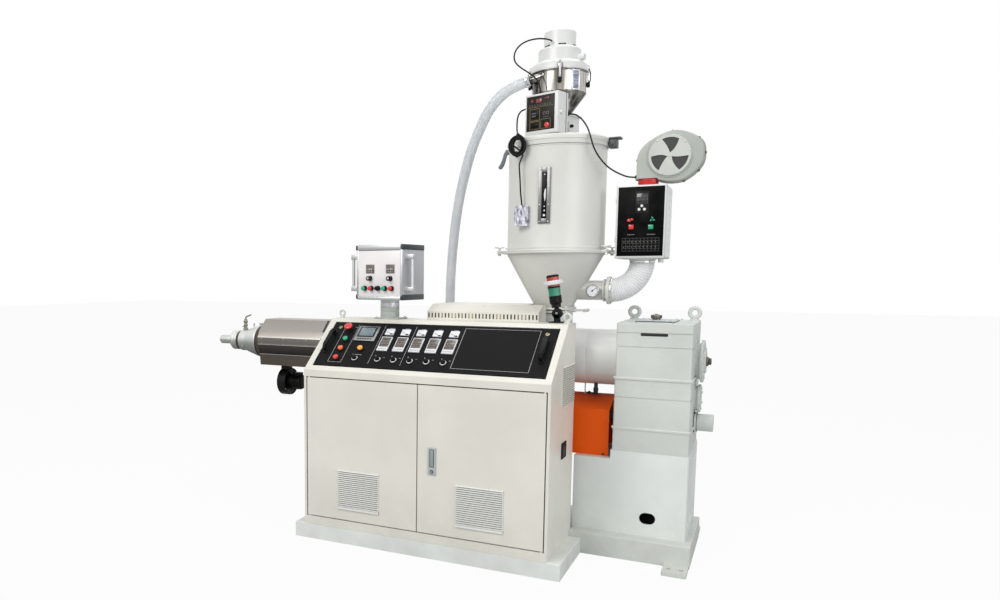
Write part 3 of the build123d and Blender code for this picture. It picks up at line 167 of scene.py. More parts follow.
# %% [markdown]
# ## Shader maths in plain Python
# Painted steel is never one flat colour: it has dust, orange peel and softer patches. Those are
# masks made of noise, and masks need arithmetic. A small class wraps a node's socket, so that an
# expression such as 1 - mask * 0.3 adds the Math nodes by itself.

# %% Wrapped sockets and the finish builder
def maths(operation, swapped=False):
    """An operator that adds one Math node."""
    def method(self, other):
        return self._math(operation, *((other, self) if swapped else (self, other)))
    return method


class Sock:
    """A node output with Python arithmetic."""

    def __init__(self, finish, socket):
        self.finish, self.socket = finish, socket

    def _math(self, operation, *values):
        node = self.finish.tree.nodes.new("ShaderNodeMath")
        node.operation = operation
        for slot, value in zip(node.inputs, values):
            self.finish.feed(slot, value)
        return Sock(self.finish, node.outputs[0])

    __add__, __radd__ = maths("ADD"), maths("ADD", True)
    __sub__, __rsub__ = maths("SUBTRACT"), maths("SUBTRACT", True)
    __mul__, __rmul__ = maths("MULTIPLY"), maths("MULTIPLY", True)
    __gt__, __lt__ = maths("GREATER_THAN"), maths("LESS_THAN")

    def clamp(self):
        return self._math("MINIMUM", self._math("MAXIMUM", self, 0.0), 1.0)

    def fract(self):
        return self._math("FRACT", self)

    def ramp(self, low, high):
        """0 below low, 1 above high, straight between."""
        return ((self - low) * (1.0 / (high - low))).clamp()


class Finish:
    """One material: a Principled shader and short ways to feed it."""

    def __init__(self, name, slot, colour, rough=0.5, metal=0.0, **settings):
        self.material = bpy.data.materials.new(name)
        self.material.use_nodes = True
        self.slot = slot
        self.tree = self.material.node_tree
        self.shader = self.tree.nodes["Principled BSDF"]
        self.set("Base Color", colour)
        self.set("Roughness", rough)
        self.set("Metallic", metal)
        for key, value in settings.items():
            self.set(key.replace("_", " "), value)
        self.where = self.make("ShaderNodeTexCoord", {}, {}, "Object")

    def feed(self, socket, value):
        if isinstance(value, Sock):
            self.tree.links.new(value.socket, socket)
        elif isinstance(value, (tuple, list)) and len(value) == 3 and socket.type == "RGBA":
            socket.default_value = (*value, 1)
        else:
            socket.default_value = value

    def make(self, kind, settings, inputs, output=0):
        """Any node, from its type, its settings and the values or links of its sockets."""
        node = self.tree.nodes.new(kind)
        for key, value in settings.items():
            setattr(node, key, value)
        for key, value in inputs.items():
            self.feed(node.inputs[key], value)
        return Sock(self, node.outputs[output])

    def set(self, key, value):
        self.feed(self.shader.inputs[key], value)
        return self

    def axis(self, letter):
        return self.make("ShaderNodeSeparateXYZ", {}, {0: self.where}, letter)

    def placed(self, scale=(1, 1, 1), turn=(0, 0, 0), shift=(0, 0, 0)):
        return self.make("ShaderNodeMapping", {}, {"Vector": self.where, "Scale": scale, "Rotation": turn,
                                                   "Location": shift})

    def noise(self, scale, detail=2.0, rough=0.5, at=None):
        return self.make("ShaderNodeTexNoise", {}, {"Vector": at or self.where, "Scale": scale,
                                                    "Detail": detail, "Roughness": rough}, 0)

    def mix(self, mask, first, second, mode="MIX"):
        """A colour mixed by a mask."""
        node = self.tree.nodes.new("ShaderNodeMix")
        node.data_type, node.blend_type = "RGBA", mode
        self.feed(node.inputs[0], mask)
        self.feed(node.inputs[6], first)
        self.feed(node.inputs[7], second)
        return Sock(self, node.outputs[2])

    def bump(self, height, depth=0.001, strength=1.0):
        self.set("Normal", self.make("ShaderNodeBump", {}, {"Height": height, "Distance": depth,
                                                            "Strength": strength}, "Normal"))


print("shader helpers ready")

# %% [markdown]
# ## Finishes
# The machine is powder coated sheet and painted castings, with stainless covers on the hot parts.
# Each finish takes its places from the object's own coordinates, so it stays put when a door turns.


# %% Painted sheet, painted casting and steel
def scaled(colour, share):
    """A darker or paler tone."""
    return tuple(min(1.0, c * share) for c in colour)


def painted(name, slot, colour, rough=0.33, peel=0.5, dirt=0.5, dust=(0.42, 0.39, 0.33)):
    """Powder coat: orange peel, cloudy sheen, and dust that gathers low down."""
    f = Finish(name, slot, colour, rough, Specular_IOR_Level=0.5)
    clouds = f.noise(3.1, 3)
    specks = f.noise(190, 2, 0.65)
    low = 1 - f.axis("Z").ramp(0.02, 0.42)
    grime = (low * f.noise(9, 5, 0.6).ramp(0.38, 0.72) * dirt * 0.30 + specks.ramp(0.71, 0.8) * dirt * 0.22).clamp()
    darker, paler = scaled(colour, 0.955), scaled(colour, 1.035)
    f.set("Base Color", f.mix(grime, f.mix(clouds.ramp(0.35, 0.65), darker, paler), dust))
    f.set("Roughness", rough + clouds * 0.10 + grime * 0.3)
    f.bump(f.noise(420, 1.5, 0.4) * 0.6 + f.noise(95, 1, 0.3), 0.00018 * peel, 0.55)
    return f


def cast_paint(name, slot, colour, rough=0.42):
    """Enamel over a sand casting: a soft pebbled skin and darker dust in it."""
    f = Finish(name, slot, colour, rough, Specular_IOR_Level=0.5)
    skin = f.noise(60, 4, 0.6)
    clouds = f.noise(4.2, 3)
    grime = (f.noise(13, 5, 0.6).ramp(0.58, 0.8) * 0.22).clamp()
    darker, paler = scaled(colour, 0.94), scaled(colour, 1.03)
    f.set("Base Color", f.mix(grime, f.mix(clouds.ramp(0.35, 0.65), darker, paler), (0.44, 0.42, 0.37)))
    f.set("Roughness", rough + clouds * 0.12 + grime * 0.2)
    f.bump(skin + f.noise(300, 1, 0.5) * 0.4, 0.0009, 0.5)
    return f


def brushed(name, slot, colour, rough=0.34, along=(1, 26, 26), heat=0.0):
    """Steel sheet with its grain along one axis."""
    f = Finish(name, slot, colour, rough, 1.0)
    grain = f.noise(46, 6, 0.7, f.placed(along))
    broad = f.noise(2.6, 3)
    darker = scaled(colour, 0.86 - heat * 0.2)
    warm = (colour[0] * 1.02, colour[1] * (1 - 0.08 * heat), colour[2] * (1 - 0.2 * heat))
    f.set("Base Color", f.mix(grain.ramp(0.3, 0.7), darker, f.mix(broad.ramp(0.4, 0.65), colour, warm)))
    f.set("Roughness", rough - 0.06 + grain * 0.16 + broad * 0.06)
    f.bump(grain, 0.0004, 0.35)
    return f


def moulded(name, slot, colour, rough=0.45, grain=260, depth=0.0003, **settings):
    """Moulded plastic or rubber: fine spark texture and faint handling marks."""
    f = Finish(name, slot, colour, rough, **settings)
    clouds = f.noise(11, 3)
    paler = tuple(min(1.0, c * 1.12 + 0.012) for c in colour)
    f.set("Base Color", f.mix(clouds.ramp(0.4, 0.75), colour, paler))
    f.set("Roughness", rough - 0.05 + clouds * 0.14)
    f.bump(f.noise(grain, 2, 0.6), depth, 0.45)
    return f


print("a tone darker than mid grey", scaled((0.5, 0.5, 0.5), 0.94))

# %% Finishes of the large parts
ivory = painted("ivory_sheet_paint", "ivory_paint", (0.785, 0.77, 0.69), 0.26, 0.4, 0.6)
grey_paint = painted("grey_base_paint", "grey_paint", (0.66, 0.69, 0.655), 0.32, 0.6, 0.8)
# Front base and frame get a paler copy of the grey paint: painted light for the little lamp light near the floor.
base_paint = painted("pale_base_paint", "grey_paint", (0.80, 0.835, 0.81), 0.32, 0.6, 0.8)
cast_grey = cast_paint("grey_cast_paint", "grey_paint", (0.66, 0.69, 0.655))
white_paint = painted("white_sheet_paint", "white_paint", (0.74, 0.75, 0.735), 0.26, 0.4, 0.4)
distance_paint = painted("distance_piece_paint", "white_paint", (0.87, 0.875, 0.86), 0.26, 0.4, 0.3)
hopper_paint = painted("hopper_white_paint", "white_paint", (0.72, 0.72, 0.68), 0.26, 0.4, 0.4)
orange = painted("orange_guard_paint", "orange_paint", (0.86, 0.105, 0.004), 0.38, 0.6, 0.15)
orange.set("Specular IOR Level", 0.2)
worn = orange.axis("Z").ramp(0.780, 0.800) * orange.noise(26, 4, 0.6).ramp(0.30, 0.62)
orange.set("Base Color", orange.mix(worn * 0.75, orange.mix(orange.noise(5, 3), (0.98, 0.112, 0.003),
                                                            (1.0, 0.140, 0.004)), (0.22, 0.035, 0.018)))
motor_grey = cast_paint("motor_paint_coat", "motor_paint", (0.12, 0.16, 0.19))
stainless = brushed("stainless_sheet", "stainless", (0.47, 0.43, 0.385), 0.30, (1, 26, 26))
# Painted light and shade: grey bands by height make each facet of the guard lit or shaded, and mark its folds.
height = stainless.axis("Z")
grain = stainless.noise(46, 6, 0.7, stainless.placed((1, 26, 26))).ramp(0.2, 0.8)
tone = (0.135, 0.113, 0.093)
for low, high, grey in ((0.931, 0.933, 0.020), (0.935, 0.992, 0.085), (0.993, 0.998, 0.30), (1.000, 1.006, 0.21),
                        (1.008, 1.036, 0.27), (1.037, 1.040, 0.68), (1.042, 1.052, 0.46), (1.052, 1.080, 0.34),
                        (1.082, 1.088, 0.42), (1.092, 1.150, 0.38)):
    tone = stainless.mix(height.ramp(low, high), tone, (grey, grey * 0.93, grey * 0.86))
stainless.set("Base Color", stainless.mix(grain * 0.22, tone, (0.13, 0.115, 0.10)))
stainless_upright = brushed("stainless_upright", "stainless", (0.60, 0.585, 0.56), 0.22, (22, 22, 1))
hot_steel = brushed("heated_steel", "dark_steel", (0.36, 0.345, 0.325), 0.38, (26, 5, 5), 0.8)
turned_steel = brushed("turned_steel", "dark_steel", (0.52, 0.51, 0.50), 0.26, (60, 2, 2))
bright = brushed("bright_plating", "chrome_parts", (0.78, 0.78, 0.77), 0.14, (6, 6, 6))
print("finishes", len(bpy.data.materials))

# %% [markdown]
# ## Shapes that keep their place
# Most fittings are turned or folded metal, so a few helpers cover them: a turned piece from an
# outline of radius and height, a box with rounded edges, a flat outline with a thickness, and a
# tube along a few points. They all add to one work mesh, the bench, which is emptied into each
# finished piece. Its place is in its mesh, as in the CAD part, so the object sits at the origin.

# %% Places and directions
UP, RIGHT, LEFT, FRONT, BACK = (0, 0, 1), (1, 0, 0), (-1, 0, 0), (0, -1, 0), (0, 1, 0)


def at(x, y, z):
    """A shift in millimetres."""
    return Matrix.Translation(Vector((x, y, z)) * mm)


def spun(degrees, axis="Z"):
    """A turn round an axis through the origin."""
    return Matrix.Rotation(radians(degrees), 4, axis)


def front_face(x, y, z):
    """Puts a flat drawing (x right, y up, z towards the operator) on a front face."""
    return at(x, y, z) @ spun(90, "X")


def on(frame, x, y, z=0.0):
    """A place of a turned frame, in the machine's own millimetres."""
    return frame @ (Vector((x, y, z)) * mm) / mm


def around(x, y, z, radius, angles):
    """Places on a circle that faces along the machine."""
    return [(x, y + radius * cos(radians(a)), z + radius * sin(radians(a))) for a in angles]


print("in front of the origin", on(spun(90), 0, -1))

# %% The bench and finished pieces
bench = bmesh.new()


def plain_mesh(name):
    """Empties the bench into a closed mesh that faces outwards."""
    bmesh.ops.remove_doubles(bench, verts=bench.verts, dist=1e-6)
    bmesh.ops.recalc_face_normals(bench, faces=bench.faces)
    mesh = bpy.data.meshes.new(name)
    bench.to_mesh(mesh)
    bench.clear()
    return mesh


def to_object(name, finish, body="machine", smooth_angle=32, replaces=()):
    """Empties the bench into a finished piece that rides on a body."""
    return finished(plain_mesh(name), name, finish, body, smooth_angle, replaces)


def finished(mesh, name, finish, body="machine", smooth_angle=32, replaces=()):
    """Gives a mesh its finish, its shading and its body."""
    thing = show(bpy.data.objects.new(name, mesh))
    mesh.materials.clear()
    mesh.materials.append(finish.material)
    mesh.shade_smooth()
    mesh.set_sharp_from_angle(angle=radians(smooth_angle))
    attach(thing, body)
    if replaces:
        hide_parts(*replaces)
    return thing


print("bench ready")


# %% Turned shapes
def skin(rings, ends=True):
    """Joins rings of corners, one after the other; a ring of one corner is a pole."""
    for low, high in zip(rings, rings[1:]):
        steps = max(len(low), len(high))
        for i in range(steps):
            j = (i + 1) % steps
            four = (low[i % len(low)], low[j % len(low)], high[j % len(high)], high[i % len(high)])
            corners = [v for n, v in enumerate(four) if v not in four[:n]]
            if len(corners) > 2:
                bench.faces.new(corners)
    for ring in (rings[0], rings[-1]) if ends else ():
        bench.faces.new(ring)


def circle(middle, side, up, radius, steps):
    """A ring of corners round a middle, in metres."""
    return [bench.verts.new(middle + (side * cos(t) + up * sin(t)) * radius)
            for t in (tau * k / steps for k in range(steps))]


def turned(outline, place=(0, 0, 0), axis=UP, steps=64, turn=Matrix()):
    """Adds a turned shape from (radius, height) points in millimetres, round an axis."""
    aim = (turn.to_3x3() @ Vector(axis)).normalized()
    across = Vector(UP) if abs(aim.z) < 0.9 else Vector(RIGHT)
    side = across.cross(aim).normalized()
    up = aim.cross(side)
    base = turn @ (Vector(place) * mm)
    skin([circle(base + aim * h * mm, side, up, r * mm, steps if r > 1e-6 else 1) for r, h in outline], ends=False)


def bow(a, pull, b, steps):
    """Points of a smooth bow from a to b that leans towards a third place."""
    return [(1 - t) ** 2 * a + 2 * t * (1 - t) * pull + t * t * b for t in (k / steps for k in range(steps + 1))]


def rounded(outline, radius=3.0, steps=3, closed=False):
    """Rounds the corners of a (radius, height) outline."""
    result = []
    for i, point in enumerate(outline):
        if not closed and i in (0, len(outline) - 1):
            result.append(point)
            continue
        here, before, after = (Vector(outline[n % len(outline)]) for n in (i, i - 1, i + 1))
        a, b = before - here, after - here
        reach = min(radius, a.length * 0.45, b.length * 0.45)
        result += [tuple(p) for p in bow(here + a.normalized() * reach, here, here + b.normalized() * reach, steps)]
    return result


def closed(outline, radius=2.0):
    """A closed outline with its corners rounded."""
    soft = rounded(outline, radius, closed=True)
    return soft + [soft[0]]


print("a rounded square has", len(closed([(0, 0), (9, 0), (9, 9), (0, 9)])), "points")


# %% Boxes, plates, bars and tubes
def slab(low, high, edge=1.0, turn=None, segments=2):
    """Adds a box between two corners in millimetres, with rounded edges, placed by a matrix in metres."""
    low, high = Vector(low), Vector(high)
    old = set(bench.faces) if turn is not None else ()
    found = bmesh.ops.create_cube(bench, size=1.0)["verts"]
    bmesh.ops.scale(bench, vec=(high - low) * mm, verts=found)
    bmesh.ops.translate(bench, vec=(high + low) * 0.5 * mm, verts=found)
    if edge > 0:
        edges = {e for v in found for e in v.link_edges}
        bmesh.ops.bevel(bench, geom=list(edges), offset=edge * mm, segments=segments, profile=0.5, affect="EDGES")
    if turn is not None:
        corners = {v for f in bench.faces if f not in old for v in f.verts}
        bmesh.ops.transform(bench, matrix=turn, verts=list(corners))


def slabs(turn, *boxes):
    """Boxes of one frame: each is two corners and the radius of its edges."""
    for low, high, edge in boxes:
        slab(low, high, edge, turn)


def prism(outline, depth, place):
    """Adds a flat outline (x, y in mm) raised by a depth, and gives back its top face."""
    low, top = [[bench.verts.new(place @ (Vector((x, y, z)) * mm)) for x, y in outline] for z in (0, depth)]
    face = bench.faces.new(top)
    bench.faces.new(low[::-1])
    skin([low, top], ends=False)
    return face


def bar(corners, step):
    """A straight bar in millimetres: the corners of one end, carried along a step to the other end."""
    skin([[bench.verts.new((Vector(c) + Vector(step) * k) * mm) for c in corners] for k in (0, 1)])


def frame_lines(x0, x1, y0, y1, wide, place, low=0, out=1.2, edge=0):
    """Four thin bars round a rectangle of a face."""
    for a, b, c, d in ((x0, x1, y0, y0 + wide), (x0, x1, y1 - wide, y1), (x0, x0 + wide, y0, y1),
                       (x1 - wide, x1, y0, y1)):
        slab((a, c, low), (b, d, out), edge, place)


def sweep(line, radius, steps, side=None, ends=True):
    """Carries a ring along points in metres; its radius is a function of step and angle."""
    rings = []
    for i, place in enumerate(line):
        aim = (line[min(i + 1, len(line) - 1)] - line[max(i - 1, 0)]).normalized()
        side = aim.orthogonal() if side is None else side
        side = (side - aim * side.dot(aim)).normalized()
        up = aim.cross(side)
        rings.append([bench.verts.new(place + (side * cos(t) + up * sin(t)) * radius(i, t))
                      for t in (tau * k / steps for k in range(steps))])
    skin(rings, ends)


def tube(points, radius, steps=12, ends=True):
    """Adds a round tube through points in millimetres."""
    sweep([Vector(p) * mm for p in points], lambda i, t: radius * mm, steps, ends=ends)


def bent(points, share=0.4, steps=6):
    """A bar's line with its corners rounded, for handles and bent rods."""
    line = [Vector(p) for p in points]
    result = [line[0]]
    for before, here, after in zip(line, line[1:], line[2:]):
        reach = min((before - here).length, (after - here).length) * share
        result += bow(here + (before - here).normalized() * reach, here, here + (after - here).normalized() * reach,
                      steps)
    return result + [line[-1]]


print("a bent rod's line has", len(bent([(0, 0, 0), (0, 0, 9), (9, 0, 9)])), "points")

# %% [markdown]
# ## Screws and bolts by Geometry Nodes
# A machine is full of things that repeat: a screw every hand's width, a slat every centimetre. One
# node tree takes a small shape and a list of places, turns each copy to its face, and makes the
# copies real. The places come in as a cloud of points whose "aim" says which way each one looks.


# %% A tree that repeats a small shape over points
def repeat_tree(name):
    """Instance on points, turned so that the shape's +Z follows the aim, then made real."""
    tree = bpy.data.node_groups.new(name, "GeometryNodeTree")
    for title, kind in (("Points", "Geometry"), ("Shape", "Object"), ("Size", "Float"), ("Turn spread", "Float"),
                        ("Seed", "Int"), ("Finish", "Material")):
        tree.interface.new_socket(title, in_out="INPUT", socket_type="NodeSocket" + kind)
    tree.interface.new_socket("Copies", in_out="OUTPUT", socket_type="NodeSocketGeometry")

    def add(kind, **settings):
        return add_node(tree, kind, **settings)

    given, result = add("NodeGroupInput"), add("NodeGroupOutput")
    info = add("GeometryNodeObjectInfo")
    aim, across = (add("GeometryNodeInputNamedAttribute", data_type="FLOAT_VECTOR") for _ in range(2))
    aim.inputs["Name"].default_value = "aim"
    across.inputs["Name"].default_value = "across"
    face = add("FunctionNodeAxesToRotation", primary_axis="Z", secondary_axis="X")
    less = add("ShaderNodeMath", operation="MULTIPLY")
    less.inputs[1].default_value = -1
    chance = add("FunctionNodeRandomValue", data_type="FLOAT")
    twist = add("FunctionNodeAxisAngleToRotation")
    both = add("FunctionNodeRotateRotation", rotation_space="LOCAL")
    copies = add("GeometryNodeInstanceOnPoints")
    real = add("GeometryNodeRealizeInstances")
    dress = add("GeometryNodeSetMaterial")
    for start, out, end, into in (
            (given, "Shape", info, "Object"), (given, "Turn spread", less, 0), (less, 0, chance, "Min"),
            (given, "Turn spread", chance, "Max"), (given, "Seed", chance, "Seed"),
            (aim, "Attribute", face, "Primary Axis"), (across, "Attribute", face, "Secondary Axis"),
            (chance, "Value", twist, "Angle"), (face, 0, both, 0), (twist, 0, both, 1),
            (given, "Points", copies, "Points"), (info, "Geometry", copies, "Instance"), (both, 0, copies, "Rotation"),
            (given, "Size", copies, "Scale"), (copies, 0, real, 0), (real, 0, dress, "Geometry"),
            (given, "Finish", dress, "Material"), (dress, 0, result, "Copies")):
        tree.links.new(start.outputs[out], end.inputs[into])
    return tree


repeat = repeat_tree("repeat_over_places")
inputs = {item.name: item.identifier for item in repeat.interface.items_tree if item.in_out == "INPUT"}
print("inputs of the tree", list(inputs))


# %% Copies as one plain mesh
def facing(points, aim, across=RIGHT):
    """Places that all look the same way."""
    return [(point, aim, across) for point in points]


def repeated(name, shape, places, finish, body="machine", size=1.0, spread=1.5, seed=3):
    """One plain mesh of copies of a shape: places are (point in mm, aim, across)."""
    cloud = bpy.data.meshes.new(name)
    cloud.from_pydata([Vector(p) * mm for p, _, _ in places], [], [])
    for key, part in (("aim", 1), ("across", 2)):
        layer = cloud.attributes.new(key, "FLOAT_VECTOR", "POINT")
        layer.data.foreach_set("vector", [c for place in places for c in place[part]])
    carrier = show(bpy.data.objects.new(name + "_cloud", cloud))
    change = carrier.modifiers.new("copies", "NODES")
    change.node_group = repeat
    for title, value in (("Shape", shape), ("Size", size), ("Turn spread", spread), ("Seed", seed),
                         ("Finish", finish.material)):
        change[inputs[title]] = value
    bpy.context.view_layer.update()
    ready = carrier.evaluated_get(bpy.context.evaluated_depsgraph_get())
    mesh = bpy.data.meshes.new_from_object(ready)
    bpy.data.objects.remove(carrier)
    mesh.name = name
    for key in ("aim", "across"):
        if key in mesh.attributes:
            mesh.attributes.remove(mesh.attributes[key])
    print(name, len(places), "copies", len(mesh.polygons), "faces")
    return finished(mesh, name, finish, body)


def hex_head(across_flats=13.0, height=5.5, washer=9.0):
    """A hexagon screw head on its washer, +Z outwards, sunk a little."""
    turned([(0, -0.3), (washer, -0.3), (washer, 1.3), (washer - 0.6, 1.6), (0, 1.6)], steps=18)
    corner = across_flats / sqrt(3)
    ring = [(corner * cos(tau * i / 6), corner * sin(tau * i / 6)) for i in range(6)]
    top = prism(ring, height, at(0, 0, 1.2))
    bmesh.ops.bevel(bench, geom=list(top.edges), offset=0.8 * mm, segments=1, affect="EDGES")


def socket_head(radius=6.5, height=6.0):
    """A socket head cap screw with a round recess in its top."""
    turned([(0, height - 3.2), (radius * 0.5, height - 3.2), (radius * 0.56, height), (radius - 0.9, height),
            (radius, height - 0.9), (radius, -0.3), (0, -0.3)], steps=12)


def pan_head(radius=4.2, height=2.2):
    """A domed cross-head screw."""
    turned([(0, height), (radius * 0.45, height * 0.94), (radius * 0.85, height * 0.6), (radius, 0.25),
            (radius, -0.3), (0, -0.3)], steps=12)
    for turn in (0, 90):
        slab((-radius * 0.55, -0.35, height - 0.25), (radius * 0.55, 0.35, height + 0.12), 0, spun(turn))


def pattern(name, draw):
    """A small shape kept off the scene, for the tree to copy."""
    draw()
    return bpy.data.objects.new(name, plain_mesh(name))


hex_screw = pattern("hex_screw", hex_head)
cap_screw = pattern("cap_screw", socket_head)
small_screw = pattern("small_screw", pan_head)
print("screw shapes", [len(o.data.polygons) for o in (hex_screw, cap_screw, small_screw)])

# %% [markdown]
# ## Hose and leads
# A ribbed suction hose hangs from the loader, goes down behind the machine and ends in a steel
# lance. Three thin leads join the loader, the dryer and the level sensor. Each one is a smooth
# NURBS line, because a lead has no corners: the line only comes near its points.

# %% Smooth routes
soft_black = moulded("black_rubber_skin", "black_rubber", (0.007, 0.007, 0.008), 0.42, 700, 0.0002,
                     Specular_IOR_Level=0.15)
clear_hose = moulded("clear_hose_skin", "clear_hose", (0.87, 0.91, 0.95), 0.20, 500, 0.00008,
                     Transmission_Weight=0.45, IOR=1.45, Coat_Weight=0.5)


def route(name, points, diameter=0.0, finish=None, body="machine"):
    """A NURBS line through the neighbourhood of points in millimetres, thick if it has a diameter."""
    data = bpy.data.curves.new(name, "CURVE")
    data.dimensions = "3D"
    data.resolution_u = 8
    spline = data.splines.new("NURBS")
    spline.points.add(len(points) - 1)
    for spot, point in zip(spline.points, points):
        spot.co = (*(Vector(point) * mm), 1)
    spline.order_u = 3
    spline.use_endpoint_u = True
    thing = show(bpy.data.objects.new(name, data))
    if diameter:
        data.bevel_depth = diameter * mm / 2
        data.bevel_resolution = 3
        data.use_fill_caps = True
        data.materials.append(finish.material)
        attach(thing, body)
    return thing


def line_of(thing):
    """The line that a thin route follows, as points in metres."""
    bpy.context.view_layer.update()
    mesh = bpy.data.meshes.new_from_object(thing.evaluated_get(bpy.context.evaluated_depsgraph_get()))
    return [v.co.copy() for v in mesh.vertices]


def even(line, step):
    """Points a fixed step apart along a line, in metres, with their distances."""
    result, gone, target = [line[0]], 0.0, step
    for a, b in zip(line, line[1:]):
        part = (b - a).length
        while target <= gone + part and part > 0:
            result.append(a.lerp(b, (target - gone) / part))
            target += step
        gone += part
    return result, gone


print("route helpers ready")

# %% Suction hose with its ribs
inlet_way = Vector((-cos(radians(12)), 0, -sin(radians(12))))
inlet_root = Vector((-40, -112, 2480))
hose_start = inlet_root + inlet_way * 92.3
hose_points = [tuple(hose_start), (-215, -112, 2443), (-300, -92, 2402), (-378, -50, 2340), (-441, 2, 2260),
               (-500, 52, 2175), (-549, 102, 2087), (-592, 151, 1994), (-631, 196, 1899), (-663, 238, 1801),
               (-690, 275, 1700), (-711, 306, 1596), (-729, 331, 1490), (-740, 348, 1382), (-746, 359, 1260),
               (-749, 366, 1110), (-748, 369, 940), (-745, 369, 760), (-743, 366, 580), (-744, 362, 400)]
guide = route("hose_guide", hose_points)
hose_line = line_of(guide)
bpy.data.objects.remove(guide)
rib_pitch = 0.0080
hose_path, hose_length = even(hose_line, rib_pitch / 4)
sweep(hose_path, lambda i, t: 0.0287 + 0.0013 * cos(tau * i / 4 + t), 24, Vector(UP))
suction_hose = to_object("ribbed_suction_hose", clear_hose, smooth_angle=80, replaces=["suction_hose"])
print("hose length", round(hose_length, 3), "faces", len(suction_hose.data.polygons))

# %% Hose clamps
for place, aim in (((-744, 362, 408), UP), (hose_start + inlet_way * 14, inlet_way)):
    turned(rounded([(30.2, -6), (31.6, -6), (31.6, 6), (30.2, 6), (30.2, -6)], 0.5), place, aim, steps=40)
slab((-752, 328, 402), (-736, 335, 414), 1.2)
lug_place = at(*(hose_start + inlet_way * 14))
slab((-6, -39, -8), (6, -31, 8), 1.2, lug_place)
hose_clamps = to_object("hose_clamp_bands", bright)

# %% Leads of the loader and the dryer
motor_points = [(-25, -94.5, 2656), (-32, -121, 2656), (-58, -141, 2659), (-95, -148, 2661), (-138, -148, 2657),
                (-175, -147, 2643), (-202, -147, 2616), (-211, -147, 2582), (-200, -148, 2550), (-168, -152, 2521),
                (-128, -157, 2493), (-92, -164, 2466), (-69, -171, 2437), (-58, -177, 2406), (-54.2, -180.3, 2373)]
dryer_points = [(76.8, -89.4, 2274), (103, -98, 2271), (130, -112, 2254), (155, -131, 2230), (176, -154, 2203),
                (193, -175, 2176), (206, -191, 2147), (217, -201, 2113), (229, -201, 2078), (243, -193, 2048),
                (259, -178, 2022), (276, -158, 2000), (295, -133, 1980), (318, -105, 1964), (343, -77, 1951),
                (364, -49, 1943), (384, -31, 1939), (406.7, -24, 1938)]
motor_lead = route("loader_motor_lead", motor_points, 8, soft_black)
dryer_lead = route("dryer_power_lead", dryer_points, 8, soft_black)
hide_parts("motor_lead")
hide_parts("dryer_lead")
print("leads drawn through", len(motor_points), "and", len(dryer_points), "points")

# %% Sensor lead with its tied spare turns
coil_middle = Vector((-145, -265.5, 2103))
sensor_points = [(-130.4, -167, 2304), (-152, -160.5, 2303), (-170, -158, 2290), (-178, -162, 2268),
                 (-177, -174, 2244), (-172, -192, 2221), (-166, -212, 2200), (-159, -232, 2184),
                 (-152, -250, 2172), (-141, -264, 2161)]
turns, per_turn = 8, 14
for i in range(turns * per_turn - 3):
    t = i / per_turn
    angle = tau * t + radians(32)
    layer = cos(tau * t / 2.7)
    wide, high = 35 + 11 * layer, 44.5 + 8 * layer
    depth = -9 + 18 * t / turns
    sensor_points.append(tuple(coil_middle + Vector((wide * sin(angle), depth, high * cos(angle)))))
sensor_points += [(-112, -258, 2062), (-126, -261, 2036), (-135, -264, 2008), (-132, -264.5, 1972),
                  (-128.5, -263.5, 1930), (-126, -262, 1884), (-123, -259.5, 1840), (-117, -257, 1796.5)]
sensor_lead = route("level_sensor_lead", sensor_points, 8, soft_black)
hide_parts("sensor_lead", "lead_coil")
slab((-150, -280, 2132), (-141, -251, 2162), 2.5)
slab((-152, -280, 2044), (-144, -251, 2074), 2.5)
coil_tie = to_object("coil_ties", soft_black)
bpy.context.view_layer.update()
for thing in (motor_lead, dryer_lead, sensor_lead):
    thin = show(thing.copy())
    thin.data = thing.data.copy()
    thin.data.bevel_depth = 0
    print(thing.name, "length", round(even(line_of(thin), 0.01)[1], 3))
    bpy.data.objects.remove(thin)
# %% [markdown]
# ## Dress the CAD nodes
# Nodes whose shape is already right keep their mesh and only get a finish. The table says which
# finish belongs to which node, so nothing is left in plain colour.

# %% Finishes of the CAD nodes
black_sheet = painted("black_panel_coat", "black_panel", (0.010, 0.010, 0.011), 0.42, 0.4, 0.15, (0.06, 0.06, 0.06))
black_sheet.set("Specular IOR Level", 0.06)
black_plastic = moulded("black_moulding", "black_plastic", (0.016, 0.016, 0.017), 0.40)
pale_plastic = moulded("pale_moulding", "instrument_plastic", (0.60, 0.61, 0.60), 0.32)
white_plastic = moulded("white_moulding", "white_plastic", (0.74, 0.745, 0.76), 0.30)
red_rubber = moulded("red_rubber_skin", "red_rubber", (0.56, 0.016, 0.016), 0.40)
case_aluminium = brushed("case_aluminium", "aluminium_case", (0.66, 0.67, 0.68), 0.34, (1, 30, 30))
foil = moulded("crumpled_foil", "grey_wrap", (0.46, 0.46, 0.52), 0.28, Metallic=0.25)
# The creases paint the foil's light: painted shade in the folds and painted glints on the ridges.
creases = foil.noise(42, 3, 0.65, foil.placed((1.6, 1, 0.6)))
foil.set("Base Color", foil.mix(creases.ramp(0.38, 0.62), (0.16, 0.16, 0.21), (0.78, 0.78, 0.86)))
foil.bump(creases, 0.006, 0.8)
